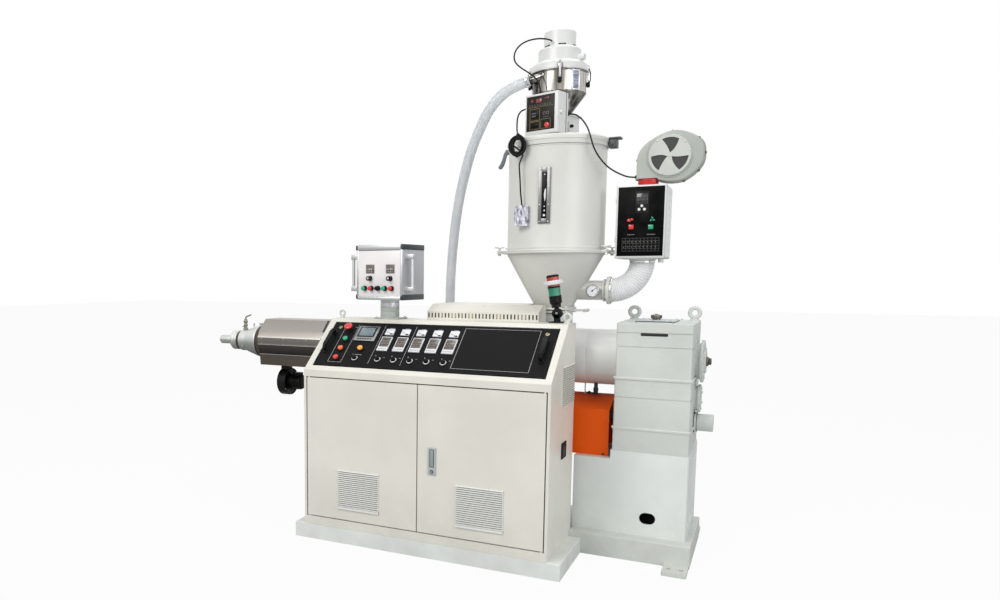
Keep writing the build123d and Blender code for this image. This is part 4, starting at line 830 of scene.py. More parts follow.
looks = {
    base_paint: "front_base lower_frame",
    grey_paint: "rear_base machine_supports",
    cast_grey: "gearbox_housing gearbox_cover gearbox_end_covers feed_housing blower_scroll blower_grille",
    distance_paint: "distance_piece",
    hot_steel: "barrel die_adapter",
    turned_steel: "die_nozzle",
    stainless: "barrel_guard",
    stainless_upright: "loader_body hose_lance",
    orange: "coupling_guard",
    motor_grey: "drive_motor",
    ivory: "vent_cover cabinet_left_side cabinet_right_side cabinet_back cabinet_floor desk_frame left_door right_door",
    bright: "door_handle hopper_fittings",
    black_sheet: "control_panel",
    pale_plastic: "panel_instruments",
    black_plastic: "cooling_blowers side_fittings panel_controls console_trim tower_foot signal_lamp",
    case_aluminium: "console_box",
    white_paint: "console_column dryer_heater dryer_control_box loader_base loader_head loader_control_box",
    hopper_paint: "hopper_cone hopper_barrel hopper_lid air_duct",
    white_plastic: "air_elbow",
    red_rubber: "red_coupling",
    clear_hose: "suction_hose",
    soft_black: "motor_lead dryer_lead sensor_lead lead_coil",
    foil: "level_sensor"}
for name, look in [(name, look) for look, names in looks.items() for name in names.split()]:
    thing = nodes[name]
    if not thing.material_slots:
        thing.data.materials.append(look.material)
    for place in thing.material_slots:
        place.link = "OBJECT"
        place.material = look.material
print("left plain", sorted(set(nodes) - set(" ".join(looks.values()).split())))

# %% [markdown]
# ## Small-part finishes
# Lamps, lenses and screens need colours of their own; slots get painted shade. A screen is dark glass with
# a grid or a meter scale drawn by maths on its coordinates, so nothing is an image and nothing is lettered.

# %% Finishes of the small parts
# The dark gap is painted shade: a near-black fill for slots, notches and openings whose depth lies in shadow.
dark_slot = moulded("dark_gap", "black_plastic", (0.012, 0.012, 0.013), 0.6)
brown_gap = moulded("gasket_brown", "black_rubber", (0.055, 0.035, 0.022), 0.5)
gloss_black = moulded("gloss_black", "black_plastic", (0.006, 0.006, 0.007), 0.24, 200, 0.0001, Specular_IOR_Level=0.10)
silver = brushed("silver_bezel", "chrome_parts", (0.70, 0.70, 0.69), 0.24, (18, 2, 18))
brass = brushed("brass_lock", "chrome_parts", (0.42, 0.36, 0.24), 0.30, (8, 8, 8))
matt_steel = brushed("satin_die_steel", "stainless", (0.62, 0.61, 0.585), 0.42, (40, 6, 6), 0.3)
# The die is painted darker low down and paler on top: painted shade and painted highlight by height, under stains.
depth = matt_steel.axis("Z")
shade = matt_steel.mix(depth.ramp(0.90, 0.985), (0.13, 0.135, 0.13), (0.48, 0.49, 0.47))
shade = matt_steel.mix(depth.ramp(0.985, 1.045), shade, (0.70, 0.71, 0.69))
matt_steel.set("Base Color", matt_steel.mix(matt_steel.noise(70, 3).ramp(0.62, 0.8) * 0.35, shade, (0.20, 0.19, 0.17)))
blue_black = moulded("console_cap_plastic", "black_plastic", (0.026, 0.032, 0.042), 0.38)
console_face = painted("console_face_paint", "white_paint", (0.90, 0.87, 0.87), 0.28, 0.3, 0.2)
scroll_paint = cast_paint("blower_paint", "grey_paint", (0.43, 0.46, 0.42), 0.34)
plate_paint = cast_paint("inlet_plate_paint", "grey_paint", (0.59, 0.615, 0.575), 0.34)
elbow_cloth = moulded("elbow_hose", "white_plastic", (0.76, 0.765, 0.775), 0.55, 90, 0.0009)
meter_white = moulded("meter_face", "instrument_plastic", (0.80, 0.81, 0.83), 0.22, 300, 0.0001, Coat_Weight=0.5)


def coloured(name, colour, glow=0.0, rough=0.22, slot="control_plastic", **settings):
    """Glossy coloured plastic, lit from inside a little; on keys that are no lamp the glow is painted light."""
    f = moulded(name, slot, colour, rough, 300, 0.0001, Coat_Weight=0.5, **settings)
    if glow:
        f.set("Emission Color", scaled(colour, 1.1))
        f.set("Emission Strength", glow)
    return f


# Every key glows a little, the stop button too; on keys that are no lamp this is painted light.
red_button = coloured("red_button", (0.62, 0.022, 0.020), 0.10)
green_button = coloured("green_button", (0.012, 0.33, 0.165), 0.12)
orange_button = coloured("orange_button", (0.80, 0.12, 0.02), 0.12)
yellow_button = coloured("yellow_button", (0.86, 0.36, 0.04), 0.15)
red_lens = coloured("red_lens", (0.58, 0.050, 0.016), 0.05, 0.15, "lamp_plastic", Transmission_Weight=0.25)
green_lens = coloured("green_lens", (0.008, 0.27, 0.155), 0.05, 0.15, "lamp_plastic", Transmission_Weight=0.25)


def screen(name, colour, bars, pitch, share, rough=0.12, axis="X"):
    """Dark glass with paler bars across it."""
    f = Finish(name, "instrument_plastic", colour, rough, Coat_Weight=0.4)
    run = (f.axis(axis) * (1.0 / pitch)).fract()
    cross = (f.axis("Z") * (1.0 / (pitch * 1.9))).fract()
    dots = ((run < share) * (cross < 0.72)).clamp()
    f.set("Base Color", f.mix(dots * f.noise(150, 1).ramp(0.3, 0.6), colour, bars))
    f.set("Roughness", rough + dots * 0.2)
    return f


display_glass = Finish("display_glass", "instrument_plastic", (0.15, 0.22, 0.25), 0.12, Coat_Weight=0.6)
display_glass.set("Base Color", display_glass.mix(display_glass.noise(9, 2).ramp(0.35, 0.65),
                                                  (0.09, 0.15, 0.18), (0.19, 0.26, 0.28)))
digits = screen("controller_digits", (0.060, 0.050, 0.042), (0.30, 0.26, 0.22), 0.0062, 0.5)
console_digits = screen("console_digits", (0.10, 0.092, 0.085), (0.62, 0.60, 0.58), 0.011, 0.62)
dim_digits = screen("dryer_digits", (0.014, 0.014, 0.015), (0.085, 0.08, 0.078), 0.0085, 0.5)
knurled = brushed("knurled_cap", "dark_steel", (0.22, 0.20, 0.175), 0.35, (1, 1, 1))
dial_steel = brushed("dial_bezel", "chrome_parts", (0.30, 0.32, 0.33), 0.25, (9, 9, 9))
galvanised = brushed("galvanised_screws", "chrome_parts", (0.60, 0.61, 0.60), 0.30, (9, 9, 9))
black_screw = brushed("black_screws", "chrome_parts", (0.055, 0.055, 0.058), 0.38, (9, 9, 9))
mesh_dark = Finish("inlet_mesh", "dark_steel", (0.05, 0.052, 0.05), 0.5, 0.4)
grid = (((mesh_dark.axis("X") * 300).fract() > 0.5) * 0.5 + ((mesh_dark.axis("Z") * 300).fract() > 0.5) * 0.5)
mesh_dark.set("Base Color", mesh_dark.mix(grid, (0.018, 0.018, 0.018), (0.080, 0.083, 0.080)))
print("finishes now", len(bpy.data.materials))
# %% [markdown]
# ## Hopper dryer
# Spun sheet shows itself in its highlights: soft edges on the flanges, a turned rim on the lid and
# a rolled bead under it. The sight glass, the lugs with their wing screws and the lid's clamp
# are fittings of their own.

# %% Hopper barrel, cone and lid
flange_angles = (-18, 18, 162, 198)


def ring_lugs(low, high):
    """The ears of a flange, which the wing screws clamp."""
    for angle in flange_angles:
        slab((266, -15, low), (313, 15, high), 2.0, spun(angle))


turned(closed([(253, 1560), (284, 1560), (284, 1568), (257, 1568), (257, 2126), (260, 2128), (253, 2128)]), steps=128)
turned([(256.5, 1574), (259.5, 1577), (259.5, 1583), (256.5, 1586)], steps=128)
ring_lugs(1560.2, 1568)
hopper_wall = to_object("hopper_wall", hopper_paint, replaces=["hopper_barrel"])
turned(closed([(100, 1262), (257, 1546), (257, 1552), (284, 1552), (284, 1560), (253, 1560), (253, 1546),
               (96, 1262)]), steps=128)
ring_lugs(1552, 1559.8)
for low, high in ((1233, 1244), (1250, 1262)):
    slab((-101.5, -101.5, low), (101.5, 101.5, high), 2.0)
slab((-89.5, -62, 1243.5), (168, 62, 1250.5), 1.2)
for x in (-87.5, 87.5):
    for y in (-87.5, 87.5):
        turned([(7, 1233), (7, 1270), (5.5, 1271.5), (0, 1271.5)], (x, y, 0), steps=16)
tube([(176, -50, 1247), (176, 50, 1247)], 9, 20)
tube([(274, 30, 1554), (324, 30, 1554)], 5, 12)
turned(rounded([(0, 0), (13, 0), (13, 10), (0, 10)], 2), (312, 30, 1554), RIGHT, steps=20)
hopper_funnel = to_object("hopper_funnel", hopper_paint, replaces=["hopper_cone"])
turned(rounded([(259, 2128), (259, 2106), (265, 2106), (265.5, 2127), (269, 2129), (269, 2147), (261, 2155),
                (0, 2155)], 3.5), steps=128)
turned([(257.3, 2096), (259.8, 2098.5), (259.8, 2101), (257.3, 2103.5)], steps=128)
hopper_cover = to_object("hopper_lid_turned", hopper_paint, replaces=["hopper_lid"])
print("hopper faces", sum(len(o.data.polygons) for o in (hopper_wall, hopper_funnel, hopper_cover)))

# %% Sight glass
half, low_z, high_z, face_y = 31.0, 1702.0, 1986.0, -265.0
slot_half, slot_low, slot_high = 13.5, 1718.0, 1970.0
for x0, x1, z0, z1 in ((-half, -slot_half, low_z, high_z), (slot_half, half, low_z, high_z),
                       (-slot_half, slot_half, low_z, slot_low + 9), (-slot_half, slot_half, slot_high - 9, high_z)):
    slab((x0, face_y, z0), (x1, -256.0, z1), 0.8)
for z, start in ((slot_low + 11, 180), (slot_high - 11, 0)):
    for k in range(12):
        a0, a1 = (radians(start + 180 * j / 12) for j in (k, k + 1))
        end = z + (11 if start == 0 else -11)
        points = [(13.5 * cos(a0), z + 11 * sin(a0)), (13.5 * cos(a1), z + 11 * sin(a1)),
                  (13.5 * cos(a1), end), (13.5 * cos(a0), end)]
        if any(abs(height - end) > 0.05 for _, height in points[:2]):
            bench.faces.new([bench.verts.new((x * mm, face_y * mm, height * mm)) for x, height in points])
sight_steel = brushed("sight_glass_steel", "stainless", (0.25, 0.25, 0.25), 0.34, (22, 22, 1))
to_object("sight_glass_frame", sight_steel, replaces=["hopper_fittings"])
slab((-14, -261.5, 1716), (14, -256.0, 1972), 0.4)
to_object("sight_glass_pane", gloss_black)
# The pale glint shape on the pane is a painted highlight.
glint = [(3, 1812), (7, 1830), (8.5, 1872), (6, 1880), (1, 1872), (-2, 1850), (-1, 1838)]
prism(glint, 0.5, front_face(0, -261.4, 0))
for x, z, r in ((0.5, 1744, 6), (1.5, 1768, 4), (1, 1789, 3), (0, 1951, 3.2)):
    turned([(0, 0.9), (r, 0.5), (r, 0)], (x, -261.4, z), FRONT, 14)
to_object("sight_glass_pellets", meter_white)
screw_places = facing([(x, face_y, z) for x in (-23, 23) for z in (1711, 1798, 1888, 1976)], FRONT)
repeated("sight_glass_screws", small_screw, screw_places, galvanised)

# %% Wing screws
for angle in flange_angles:
    foot = on(spun(angle), 300, 0, 1568)
    turned([(11, 0), (11, 2.5), (5, 3), (5, 16), (0, 17)], foot, steps=20)
    turned([(5, -22), (5, 0)], foot, steps=16)
    turned(rounded([(0, -26), (9, -26), (9, -17), (0, -17)], 1.2), foot, steps=6)
    for lean in (-1, 1):
        ears = [spun(angle) @ Vector((lean * x, 0, z)) for x, z in ((2, 16), (9, 18), (18, 19.5), (26, 19.5))]
        tube([foot + ear for ear in ears], 3.4, 10)
to_object("clamp_wing_screws", galvanised)
print("wing screws", len(flange_angles))

# %% Lid clamp and lever
clamp_grey = painted("clamp_grey_paint", "dark_steel", (0.075, 0.085, 0.085), 0.4, 0.6, 0.4)
lever_grey = painted("lever_grey_paint", "control_plastic", (0.13, 0.155, 0.17), 0.4, 0.6, 0.4)
slab((269.5, -26, 2096), (312, 26, 2139), 3.5)
slab((269.5, -30, 2141), (331, 30, 2150), 2.0)
slab((279, -31, 2110), (303, 31, 2130), 2.0)
for x, z in ((286, 2120), (300, 2106)):
    turned([(0, 0.6), (5, 0), (5, -4)], (x, -31, z), FRONT, 16)
to_object("lid_clamp", clamp_grey)
outline = [(-271, 2126), (-286, 2127), (-298, 2104), (-306, 2075), (-317, 2050), (-329, 2032), (-322, 2024),
           (-313, 2026), (-300, 2044), (-291, 2070), (-284, 2098), (-271, 2104)]
prism(outline, 20, front_face(0, 10, 0))
slab((-279, -12, 2108), (-266, 12, 2126), 2)
to_object("lid_lever", lever_grey, smooth_angle=25)
print("hopper fittings ready")

# %% Air duct
duct_z, foot_r = 1356.0, 52.0
inner, outer = [], []
for k in range(48):
    y, z = foot_r * cos(tau * k / 48), duct_z + foot_r * sin(tau * k / 48)
    cone_r = 100 + (z - 1262) * 157 / 284
    inner.append(bench.verts.new(Vector((sqrt(cone_r ** 2 - y ** 2) - 2, y, z)) * mm))
    outer.append(bench.verts.new(Vector((276, y, z)) * mm))
skin([inner, outer], ends=False)
turned(rounded([(52, -10), (55, 0), (74, 0), (74, 15), (50, 15)], 2), (286, 0, duct_z), RIGHT)
turned(rounded([(52, 0), (60, 3), (60, 13), (52, 16)], 2), (262, 0, duct_z), RIGHT, 48)
to_object("air_duct_turned", hopper_paint, replaces=["air_duct"])
flange_bolts = [spot for x, aim in ((286, LEFT), (301, RIGHT))
                for spot in facing(around(x, 0, duct_z, 66, range(30, 390, 60)), aim, UP)]
repeated("duct_flange_bolts", hex_screw, flange_bolts, galvanised, size=0.75)

# %% Thermometer
dial = (222, -74, 1354)
turned([(9, -26), (9, 0), (30, 2), (33, 4), (34, 8), (34, 13), (31, 14.5), (30, 12), (29.5, 10)], dial, FRONT, 48)
to_object("thermometer_case", dial_steel)
turned([(29.8, 10), (0, 10.2)], dial, FRONT, 48)
to_object("thermometer_dial", meter_white)
for k in range(21):
    near, wide = (22, 1.0) if k % 5 == 0 else (24.5, 0.6)
    slab((near, -wide, 10.1), (27.5, wide, 10.5), 0, front_face(*dial) @ spun(225 - 13.5 * k))
slab((-8, -1.1, 10.6), (23, 1.1, 11.4), 0.3, front_face(*dial) @ spun(40))
turned([(0, 12), (4, 11.6), (4, 10.2)], dial, FRONT, 20)
to_object("thermometer_scale", soft_black)
print("thermometer ready")

# %% Corrugated elbow
start_x, bend = 301.0, 154.0
rings, along = [], 176
for i in range(along + 1):
    share = i / along
    turn = radians(90) * share
    r = 60.2 + 2.6 * (0.5 - 0.5 * cos(tau * share * 22)) ** 1.5
    middle = Vector((start_x + bend * sin(turn), 0, duct_z + bend * (1 - cos(turn))))
    rings.append(circle(middle * mm, Vector((sin(turn), 0, -cos(turn))), Vector(BACK), r * mm, 40))
skin(rings)
to_object("corrugated_elbow", elbow_cloth, smooth_angle=70, replaces=["air_elbow"])
turned(rounded([(63, -1), (64.5, -1), (64.5, 9), (63, 9)], 0.6), (302, 0, duct_z), RIGHT)
turned(rounded([(63, 1500), (64.5, 1500), (64.5, 1509), (63, 1509)], 0.6), (455, 0, 0), UP, 64)
to_object("elbow_bands", bright)
print("duct and elbow ready")
# %% [markdown]
# ## Vacuum loader
# A polished steel bin with a white motor head. Polished steel has no colour of its own, so its
# finish holds upright bands of light and dark, as a bright room would leave on it.

# %% Polished bin
loader_x = -4.0
loader_middle = (loader_x, 0, 0)


def loader_side(degrees):
    """The loader's own frame, turned about its axis."""
    return at(*loader_middle) @ spun(degrees)


polished = Finish("polished_bin", "stainless", (0.60, 0.585, 0.56), 0.12, 1.0)
swirl = polished.placed((1, 1, 0.12), shift=(0.004, 0, 0))
bands = polished.noise(15, 3, 0.6, swirl).ramp(0.40, 0.60)
warm = polished.noise(6, 2, 0.5, swirl).ramp(0.35, 0.65)
polished.set("Base Color", polished.mix(bands, (0.085, 0.078, 0.068), polished.mix(warm, (0.42, 0.395, 0.35),
                                                                                  (0.80, 0.79, 0.77))))
polished.set("Roughness", 0.10 + polished.noise(30, 3) * 0.08)
turned(rounded([(0, 2290), (70, 2290), (72, 2296), (142, 2390), (142, 2494), (147, 2499), (147, 2502), (0, 2502)],
               2.0), loader_middle, steps=128)
turned([(142, 2391), (143.6, 2393), (142, 2395)], loader_middle, steps=128)
turned(rounded([(0, -12), (21, -12), (21, 88), (22.2, 90), (22.2, 92), (18, 92), (18, 84), (0, 84)], 0.8), inlet_root,
       inlet_way, 40)
turned(rounded([(26, 8), (30, 10), (30, 16), (21, 17)], 1), inlet_root, inlet_way, 40)
to_object("loader_bin", polished, replaces=["loader_body"])
turned(closed([(143, 2501), (149, 2501), (149, 2505), (143, 2505)], 0.5), loader_middle, steps=128)
to_object("loader_gasket", brown_gap)
print("bin finish", polished.material.name)

# %% Window and clasps
blue_window = Finish("loader_window", "instrument_plastic", (0.17, 0.19, 0.30), 0.12, Coat_Weight=0.8)
stripes = blue_window.noise(30, 2, 0.6, blue_window.placed((0.6, 0.6, 4.0)))
blue_window.set("Base Color", blue_window.mix(stripes.ramp(0.36, 0.64), (0.13, 0.145, 0.25), (0.45, 0.48, 0.58)))
place = loader_side(50) @ at(0, -140.5, 0)
slab((-19, -4, 2400), (19, 3, 2492), 1.0, place)
to_object("loader_window_pane", blue_window)
for x0, x1, z0, z1 in ((-24, -18, 2394, 2497), (18, 24, 2394, 2497), (-18, 18, 2394, 2401), (-18, 18, 2491, 2497)):
    slab((x0, -4.6, z0), (x1, 3, z1), 0.8, place)
to_object("loader_window_rim", bright)
clasp_angles = (15, 105, 195, 285)
for turn in map(loader_side, clasp_angles):
    slabs(turn, ((-9, -157.5, 2452), (9, -151, 2524), 2.6),
                ((-9, -152, 2462), (-6.6, -142, 2500), 0.8),
                ((6.6, -152, 2462), (9, -142, 2500), 0.8),
                ((-10, -146, 2440), (10, -141, 2478), 1.2))
    for x in (-6.5, 6.5):
        tube([on(turn, x * s, -y, z) for s, y, z in
              ((1, 150, 2518), (1, 155, 2531), (0.55, 152, 2541), (0.2, 144, 2543))], 2.1, 8)
to_object("loader_clasps", bright)
for turn in map(loader_side, clasp_angles):
    slabs(turn, ((-10, -160, 2428), (10, -144, 2456), 4.0),
                ((-12, -153, 2434), (12, -142, 2452), 2.5))
    for x in (-9.5, 9.5):
        tube([on(turn, x, -y, z) for y, z in ((150, 2446), (161, 2462), (161, 2500), (152, 2524))], 2.4, 8)
to_object("loader_clasp_feet", soft_black)
print("clasps", len(clasp_angles))

# %% White motor head
turned(rounded([(0, 2505), (150, 2505), (150, 2511), (145, 2538), (132, 2552), (116, 2553), (111, 2557), (111, 2618),
                (103, 2628), (84, 2628.5), (83, 2630), (83, 2712), (75, 2720), (0, 2720)], 3.0), loader_middle,
       steps=128)
turned([(150.1, 2502), (150.1, 2505.2), (0, 2505.2)], loader_middle, steps=128)
turned(rounded([(0, 0), (17, 0), (17, 45), (0, 45)], 4), (0, -101, 2570), FRONT, 32, loader_side(75))
turned(rounded([(0, -4), (9, -4), (9, 3), (7, 5), (7, 12), (0, 12)], 1), (0, -83, 2656), FRONT, 24, loader_side(-12.6))
to_object("loader_motor_head", white_paint, replaces=["loader_head"])
# The cap's slots are filled with painted shade.
for angle in range(22, 382, 60):
    slab((-19, -83.3, 2636), (19, -78, 2643), 1.5, loader_side(angle))
to_object("loader_cap_slots", dark_slot)
seam_screws = [(tuple(on(loader_side(a), 0, -96, 2628)), UP, tuple(spun(a) @ Vector(FRONT)))
               for a in range(30, 390, 60)]
repeated("loader_head_screws", small_screw, seam_screws, galvanised, size=1.2, spread=0)

# %% Square stand under the bin
loader_turn = loader_side(-18)
slabs(loader_turn, ((-100, -100, 2155), (100, 100, 2165), 2.0),
                   ((-82, -82, 2164), (82, 82, 2274), 4.0),
                   ((-92, -92, 2273), (92, 92, 2282), 2.0))
turned(rounded([(80, 2281), (78, 2284), (70, 2290), (0, 2290)], 2), loader_middle)
slab((-30, -129, 2210), (30, -80, 2270), 2.5, loader_turn)
turned(rounded([(0, 0), (30, 0), (30, 10), (22, 13), (22, 30), (0, 30)], 2), (70, -38, 2215), RIGHT, 32, loader_turn)
to_object("loader_stand", white_paint, replaces=["loader_base"])
turned(rounded([(0, 0), (9, 0), (9, 18), (6, 26), (0, 26)], 1.5), (78, -60, 2274), RIGHT, 24, loader_turn)
turned(rounded([(0, 0), (8, 0), (8, 16), (0, 16)], 2), (99, -38, 2215), RIGHT, 20, loader_turn)
to_object("loader_stand_glands", soft_black)
print("stand turned by", round(degrees(loader_turn.to_euler().z), 1))

# %% Control box of the loader
slab((-56, -228, 2160), (139, -128, 2365), 6.0, loader_turn, segments=3)
to_object("loader_control_case", white_paint, replaces=["loader_control_box"])
slab((-58, -150, 2158.5), (141, -148.5, 2366.5), 0.2, loader_turn)
to_object("loader_case_seam", dark_slot)
face = loader_turn @ front_face(0, -228, 0)
coffee_black = moulded("loader_face_film", "black_plastic", (0.016, 0.013, 0.010), 0.36, 200, 0.0001,
                       Specular_IOR_Level=0.15)
gold_line = Finish("loader_face_lines", "instrument_plastic", (0.27, 0.215, 0.085), 0.5)
slab((-46, 2179, 0), (120, 2354, 0.9), 0.4, face)
to_object("loader_control_film", coffee_black)
for x0, x1, y0, y1 in ((-26, 34, 2230, 2290), (-26, 34, 2186, 2226), (40, 98, 2186, 2234)):
    frame_lines(x0, x1, y0, y1, 1.7, face)
slab((-36, 2297, 0), (110, 2298.3, 1.2), 0, face)
to_object("loader_film_lines", gold_line)
slabs(face, ((-16, 2196, 0), (24, 2216, 5), 2.5),
            ((-18, 2240, 0), (26, 2282, 2), 1.0))
to_object("loader_rocker_switches", gloss_black)
turned(rounded([(0, 10), (13, 8.5), (13, 1), (15, 0)], 1.5), (79, -228, 2201), FRONT, 32, loader_turn)
to_object("loader_red_button", red_button)
slab((10, 2318, 0), (42, 2338, 1.6), 0.4, face)
turned([(0, 1.8), (7, 1.2), (7, 0)], (-14, -228, 2331), FRONT, 20, loader_turn)
slab((62, 2334, 0), (84, 2340, 1.4), 0.3, face)
to_object("loader_dim_display", coloured("dim_red_display", (0.20, 0.022, 0.018), 0.05))
grey_mark = Finish("dim_grey_marks", "instrument_plastic", (0.19, 0.19, 0.185), 0.5)
for z, wide in ((2309, 5), (2303, 8)):
    for k in range(9):
        slab((-30 + 15 * k, z, 0), (-30 + 15 * k + wide, z + 2.2, 1.15), 0, face)
for k in range(2):
    turned([(8, 0.9), (8, 1.8), (6, 1.8), (6, 0.9)], (60 + 20 * k, -228, 2262), FRONT, 20, loader_turn)
for k in range(6):
    x, z = -12 + 8 * (k % 3), 2250 + 14 * (k // 3)
    slab((x, z, 2), (x + 5, z + 6, 2.3), 0, face)
slab((52, 2243, 0), (88, 2244.5, 1.15), 0, face)
to_object("loader_film_marks", grey_mark)
turned(rounded([(0, 5), (8, 5), (9, 3), (12, 2), (12, 0)], 0.8), (139, -198, 2260), RIGHT, 32, loader_turn)
slab((138, -199, 2256), (144.6, -197, 2264), 0.2, loader_turn)
to_object("loader_side_lock", silver)
turned(rounded([(0, 10), (8, 10), (9, 2), (9, 0)], 1), (8, -187, 2364), UP, 20, loader_turn)
turned(rounded([(0, 14), (8, 14), (9, 2), (9, 0)], 1), (-56, -198, 2304), LEFT, 20, loader_turn)
turned([(6, -2), (6, 14), (0, 14)], (-56, -190, 2245), LEFT, 20, loader_turn)
to_object("loader_case_glands", soft_black)
print("loader ready")

# %% [markdown]
# ## Dryer housing and blower
# The housing's control face is dark glass with a dim display, three round keys and two lamp
# buttons. The blower above it is a spiral casing: one outline, carried back, with a rim, an
# inlet ring and three blade-shaped windows with mesh behind them.

# %% Dryer housing
left, right, front, low, high = 334.5, 575.5, -128.0, 1520.0, 1888.0
slab((left, front, low), (right, 128, high), 11, segments=4)
slab((left + 1, front + 20, low + 4), (right - 1, front + 22, high - 4), 0.4)
to_object("dryer_case", white_paint, smooth_angle=40, replaces=["dryer_control_box"])
slab((left - 0.6, front + 17, low + 2), (right + 0.6, front + 18.2, high - 2), 0.2)
for k in range(9):
    slab((right - 1, 16, 1560 + 36 * k - 9), (right + 0.5, 20, 1560 + 36 * k + 9), 0.2)
to_object("dryer_case_gap", moulded("case_gap_grey", "white_paint", (0.36, 0.365, 0.35), 0.5))
slab((left + 11, front - 1.5, low + 13), (right - 8, front + 2, high - 9), 0.8)
dryer_black = moulded("dryer_face_glass", "black_panel", (0.004, 0.004, 0.004), 0.30, 200, 0.00005,
                      Specular_IOR_Level=0.03)
to_object("dryer_face", dryer_black)
print("dryer housing", right - left, "mm wide")

# %% Dryer display and keys
face = front_face(0, front - 1.5, 0)
slab((430, 1749, 0), (494, 1856, 0.7), 0.3, face)
to_object("dryer_display_field", moulded("display_field", "black_plastic", (0.018, 0.017, 0.016), 0.35,
                                         Specular_IOR_Level=0.05))
slab((435, 1792, 0.6), (489, 1844, 1.1), 0.2, face)
to_object("dryer_display", dim_digits)
for x, z in ((460.7, 1783), (448, 1766), (474, 1766)):
    turned([(0, 3), (6, 2.6), (7, 1.6), (7, 0)], (x, front - 2, z), FRONT, 24)
to_object("dryer_round_keys", white_plastic)
slab((401, 1668, 0), (425, 1690, 4), 1.5, face)
for x, z, wide, tall in ((400, 1712, 14, 12), (416, 1717, 12, 10)):
    slab((x - wide / 2, z - tall / 2, 0.1), (x + wide / 2, z + tall / 2, 0.6), 2, face)
turned([(0, 0.6), (8, 0.4), (8, 0)], (402, front - 1.5, 1713), FRONT, 20)
to_object("dryer_red_key", red_button)
slab((495, 1666, 0), (519, 1688, 4), 1.5, face)
for k in range(3):
    turn = radians(90 + 120 * k)
    x, z = 513 + 8 * cos(turn), 1715 + 8 * sin(turn)
    slab((-6, -3, 0.1), (6, 3, 0.6), 1.5, front_face(x, front - 1.5, z) @ Matrix.Rotation(turn + 0.7, 4, "Z"))
to_object("dryer_green_key", green_button)
for k in range(6):
    slab((371, 1557 + 13 * k, 0), (549, 1557.7 + 13 * k, 0.25), 0, face)
for k in range(11):
    slab((371 + 17.8 * k, 1557, 0), (371.7 + 17.8 * k, 1622.7, 0.25), 0, face)
for x, wide in ((395, 36), (489, 40)):
    slab((x, 1639, 0), (x + wide, 1642, 0.25), 0, face)
for k in range(9):
    slabs(face, ((377 + 19 * k, 1577, 0), (382 + 19 * k, 1580, 0.25), 0),
                ((377 + 19 * k, 1603, 0), (384 + 19 * k, 1606, 0.25), 0))
to_object("dryer_face_grid", grey_mark)
print("dryer face ready")

# %% Dryer sockets and rubber joint
turned(rounded([(0, -20), (13, -20), (14, -3), (10, 0)], 2), (553.5, -68, low), steps=32)
to_object("dryer_under_knob", cast_grey)
turned(rounded([(66, 1510), (66, 1520), (0, 1520)], 1), (455, 0, 0))
turned(rounded([(58, 1887.5), (58, 1891), (0, 1891)], 1), (470, 0, 0))
for z in (1600, 1800):
    slab((left - 5, -112, z), (left + 1, -96, z + 30), 1.5)
to_object("dryer_sockets", white_paint, replaces=["dryer_heater"])
ring = [(0, 1891), (49, 1891)]
for k in range(3):
    z = 1892 + 12 * k
    ring += [(49, z), (51, z + 2), (51, z + 7), (49, z + 9)]
ring += [(49, 1927), (0, 1927)]
turned(ring, (470, 0, 0))
slab((496, -44, 1893), (512, -30, 1925), 2)
to_object("red_rubber_joint", red_rubber, replaces=["red_coupling"])
print("dryer ready")

# %% Blower casing
scroll_x, scroll_z = 575.0, 2034.0
bends = [(-111, 71), (15, 124), (133, 77), (157, 4), (139, -62), (75, -116), (15, -128), (-45, -119)]


def spiral_line(grow, steps=10):
    """The casing's outline in its own plane: a smooth line through the bends and down to the neck."""
    knots = [(-158 - grow, -107), (-158 - grow, -10)]
    knots += [(x * (1 + grow / hypot(x, z)), z * (1 + grow / hypot(x, z))) for x, z in bends]
    knots += [(-59, -107)]
    result = [knots[0]]
    for i in range(1, len(knots) - 1):
        p0, p1, p2 = Vector(knots[i - 1]), Vector(knots[i]), Vector(knots[i + 1])
        p3 = Vector(knots[i + 2]) if i + 2 < len(knots) else p2 + (p2 - p1)
        lead = Vector((0, 1)) * (p2 - p1).length * 0.9 if i == 1 else (p2 - p0) / 2
        tail = (p3 - p1) / 2
        for k in range(steps):
            t = k / steps
            a, b = 2 * t ** 3 - 3 * t ** 2 + 1, t ** 3 - 2 * t ** 2 + t
            c, d = -2 * t ** 3 + 3 * t ** 2, t ** 3 - t ** 2
            result.append(tuple(a * p1 + b * lead + c * p2 + d * tail))
    return result + [knots[-1]]


def loft(*layers):
    """Carries the outline through (grow, y) layers and closes both ends."""
    skin([[bench.verts.new(Vector((scroll_x + x, y, scroll_z + z)) * mm) for x, z in spiral_line(grow)]
          for grow, y in layers])


loft((-9, -52), (-3, -51), (0, -46), (0, -4.5))
loft((0, 4.5), (0, 42), (-4, 46), (-9, 46))
loft((6, -4), (7, -3), (7, -0.6))
loft((7, 0.6), (7, 3), (6, 4))
turned(rounded([(88, -2), (113, -2), (113, 5), (108, 11), (103, 12), (88, 12)], 3), (scroll_x, -46, scroll_z), FRONT,
       96)
turned(rounded([(0, 0), (72, 0), (72, 98), (66, 112), (0, 112)], 4), (scroll_x, 46, scroll_z), BACK)
slab((413, -46, 1927), (516, 46, 1931), 1)
to_object("blower_casing", scroll_paint, smooth_angle=38, replaces=["blower_scroll"])
for k in range(10):
    turned([(74, 6 + 9 * k), (75, 7 + 9 * k), (75, 10 + 9 * k), (72, 11 + 9 * k)], (scroll_x, 46, scroll_z), BACK)
to_object("blower_motor_ribs", scroll_paint)
print("spiral of", len(spiral_line(0)), "points")


# %% Inlet plate with its blade-shaped windows
def through(p, q, r, steps=10):
    """A smooth bow through three places, without the first."""
    p, q, r = Vector(p), Vector(q), Vector(r)
    return bow(p, 2 * q - (p + r) / 2, r, steps)[1:]


def polar(radius, angle):
    """A point of the plate, from its distance and its angle in radians."""
    return (radius * cos(angle), radius * sin(angle))


